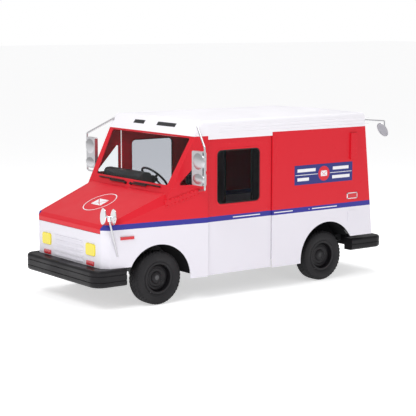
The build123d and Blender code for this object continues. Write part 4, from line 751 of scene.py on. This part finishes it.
for corner in ("front_left", "front_right", "rear_left", "rear_right"):
    tyre_low, tyre_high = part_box("tyre_" + corner)
    hub = Vector([(a + b) / 2 for a, b in zip(tyre_low, tyre_high)])
    tyre = bmesh.new()
    line = [tyre.verts.new((hub.x + x, hub.y, hub.z + r)) for x, r in tyre_profile]
    edges = [tyre.edges.new(pair) for pair in zip(line, line[1:])]
    bmesh.ops.spin(
        tyre,
        geom=[*line, *edges],
        cent=hub,
        axis=(1.0, 0.0, 0.0),
        angle=2 * math.pi,
        steps=tyre_steps,
        use_merge=True,
    )
    bmesh.ops.remove_doubles(tyre, verts=tyre.verts, dist=1e-5)
    bmesh.ops.recalc_face_normals(tyre, faces=tyre.faces)
    blocks = []
    for face in tyre.faces:
        place = face.calc_center_median() - hub
        radius = math.hypot(place.y, place.z)
        turn = int((math.atan2(place.z, place.y) / (2 * math.pi) + 1.0) * tyre_steps)
        lane = int((place.x + 0.2) / lane_width)
        if radius > tread_from and (turn + lane) % 2 == 0:
            blocks.append(face)
    bmesh.ops.inset_individual(tyre, faces=blocks, thickness=block_gap, depth=block_height)
    piece = dress(object_of(tyre, "tread_" + corner), tyre_black, corner + "_wheel")
    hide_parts("tyre_" + corner)

# ---------------------------------------------------------------- roll-up rear door
# Hinged aluminium slats that run in the rear frame's guides and wind on to the drum. They are
# built closed, in the place of the curtain block, and ride on the body.
slat_up = Vector((0.0, -0.10147, 0.99484)).normalized()
slat_out = Vector((0.0, 0.99484, 0.10147)).normalized()
slat_across = slat_up.cross(slat_out)
curtain_block = node["rear_door_curtain"]
curtain_points = [curtain_block.matrix_world @ v.co for v in curtain_block.data.vertices]
foot_v = min(v.dot(slat_up) for v in curtain_points)
head_v = max(v.dot(slat_up) for v in curtain_points)
inner_v = min(v.dot(slat_out) for v in curtain_points)
outer_v = max(v.dot(slat_out) for v in curtain_points)
half_width = max(v.x for v in curtain_points)
slat_axes = Matrix((slat_across, slat_up, slat_out)).transposed().to_4x4()
slat_count = 24
pitch = (head_v - foot_v) / slat_count
slats = bmesh.new()
for row in range(slat_count):
    low_v = foot_v + row * pitch
    block_between(
        slats,
        (-half_width, low_v + 0.0015, inner_v),
        (half_width, low_v + pitch - 0.0015, outer_v),
    )
    block_between(
        slats,
        (-half_width + 0.002, low_v - 0.001 if row else low_v + 0.002, inner_v + 0.002),
        (half_width - 0.002, low_v + pitch / 2, outer_v - 0.005),
    )
bmesh.ops.transform(slats, matrix=slat_axes, verts=slats.verts)
bmesh.ops.recalc_face_normals(slats, faces=slats.faces)
curtain = dress(object_of(slats, "rear_door_slats"), white_enamel, "body", smooth=False)
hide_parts("rear_door_curtain")
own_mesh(curtain)

# ---------------------------------------------------------------- driver's seat
# Foam cushions in a woven cover on a steel frame that slides on two rails. The covers are filled by
# a short cloth simulation, which crowns them and draws their sides in between the corners.
seat_cloth = plain("seat_cloth", (0.045, 0.047, 0.060), 0.85, specular=0.2)
grained(seat_cloth, 700.0, 0.80, 0.92, 0.0012)


def settle(piece):
    """Puts the piece's modifiers into its mesh."""
    graph = bpy.context.evaluated_depsgraph_get()
    fresh = bpy.data.meshes.new_from_object(piece.evaluated_get(graph))
    piece.modifiers.clear()
    piece.data = fresh


def stuffed(name, source, cap):
    """Filled cover in the form of a CAD block; no point moves further than cap."""
    block = node[source]
    shape = bmesh.new()
    shape.from_mesh(block.data)
    bmesh.ops.transform(shape, matrix=block.matrix_world, verts=shape.verts)
    bmesh.ops.remove_doubles(shape, verts=shape.verts, dist=1e-5)
    low = Vector([min(v.co[i] for v in shape.verts) for i in range(3)])
    high = Vector([max(v.co[i] for v in shape.verts) for i in range(3)])
    middle = (low + high) / 2
    for vert in shape.verts:
        vert.co = middle + (vert.co - middle) * 0.955
    piece = object_of(shape, name)
    even = piece.modifiers.new("even", "REMESH")
    even.mode = "VOXEL"
    even.voxel_size = 0.009
    settle(piece)
    rest = [v.co.copy() for v in piece.data.vertices]
    filling = piece.modifiers.new("filling", "CLOTH")
    filling.settings.quality = 5
    filling.settings.mass = 0.3
    filling.settings.tension_stiffness = 15.0
    filling.settings.compression_stiffness = 15.0
    filling.settings.bending_stiffness = 0.5
    filling.settings.use_pressure = True
    filling.settings.uniform_pressure_force = 4.0
    filling.settings.effector_weights.gravity = 0.0
    filling.point_cache.frame_start = 1
    filling.point_cache.frame_end = 20
    for moment in range(1, 21):
        bpy.context.scene.frame_set(moment)
    settle(piece)
    bpy.context.scene.frame_set(1)
    for vert, start_place in zip(piece.data.vertices, rest):
        moved = vert.co - start_place
        if moved.length > cap:
            vert.co = start_place + moved * (cap / moved.length)
    rounder = piece.modifiers.new("rounder", "SMOOTH")
    rounder.factor = 0.5
    rounder.iterations = 6
    settle(piece)
    dress(piece, seat_cloth, "seat")
    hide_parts(source)


stuffed("seat_cushion_cover", "seat_cushion", 0.020)
stuffed("seat_back_cover", "seat_back", 0.020)
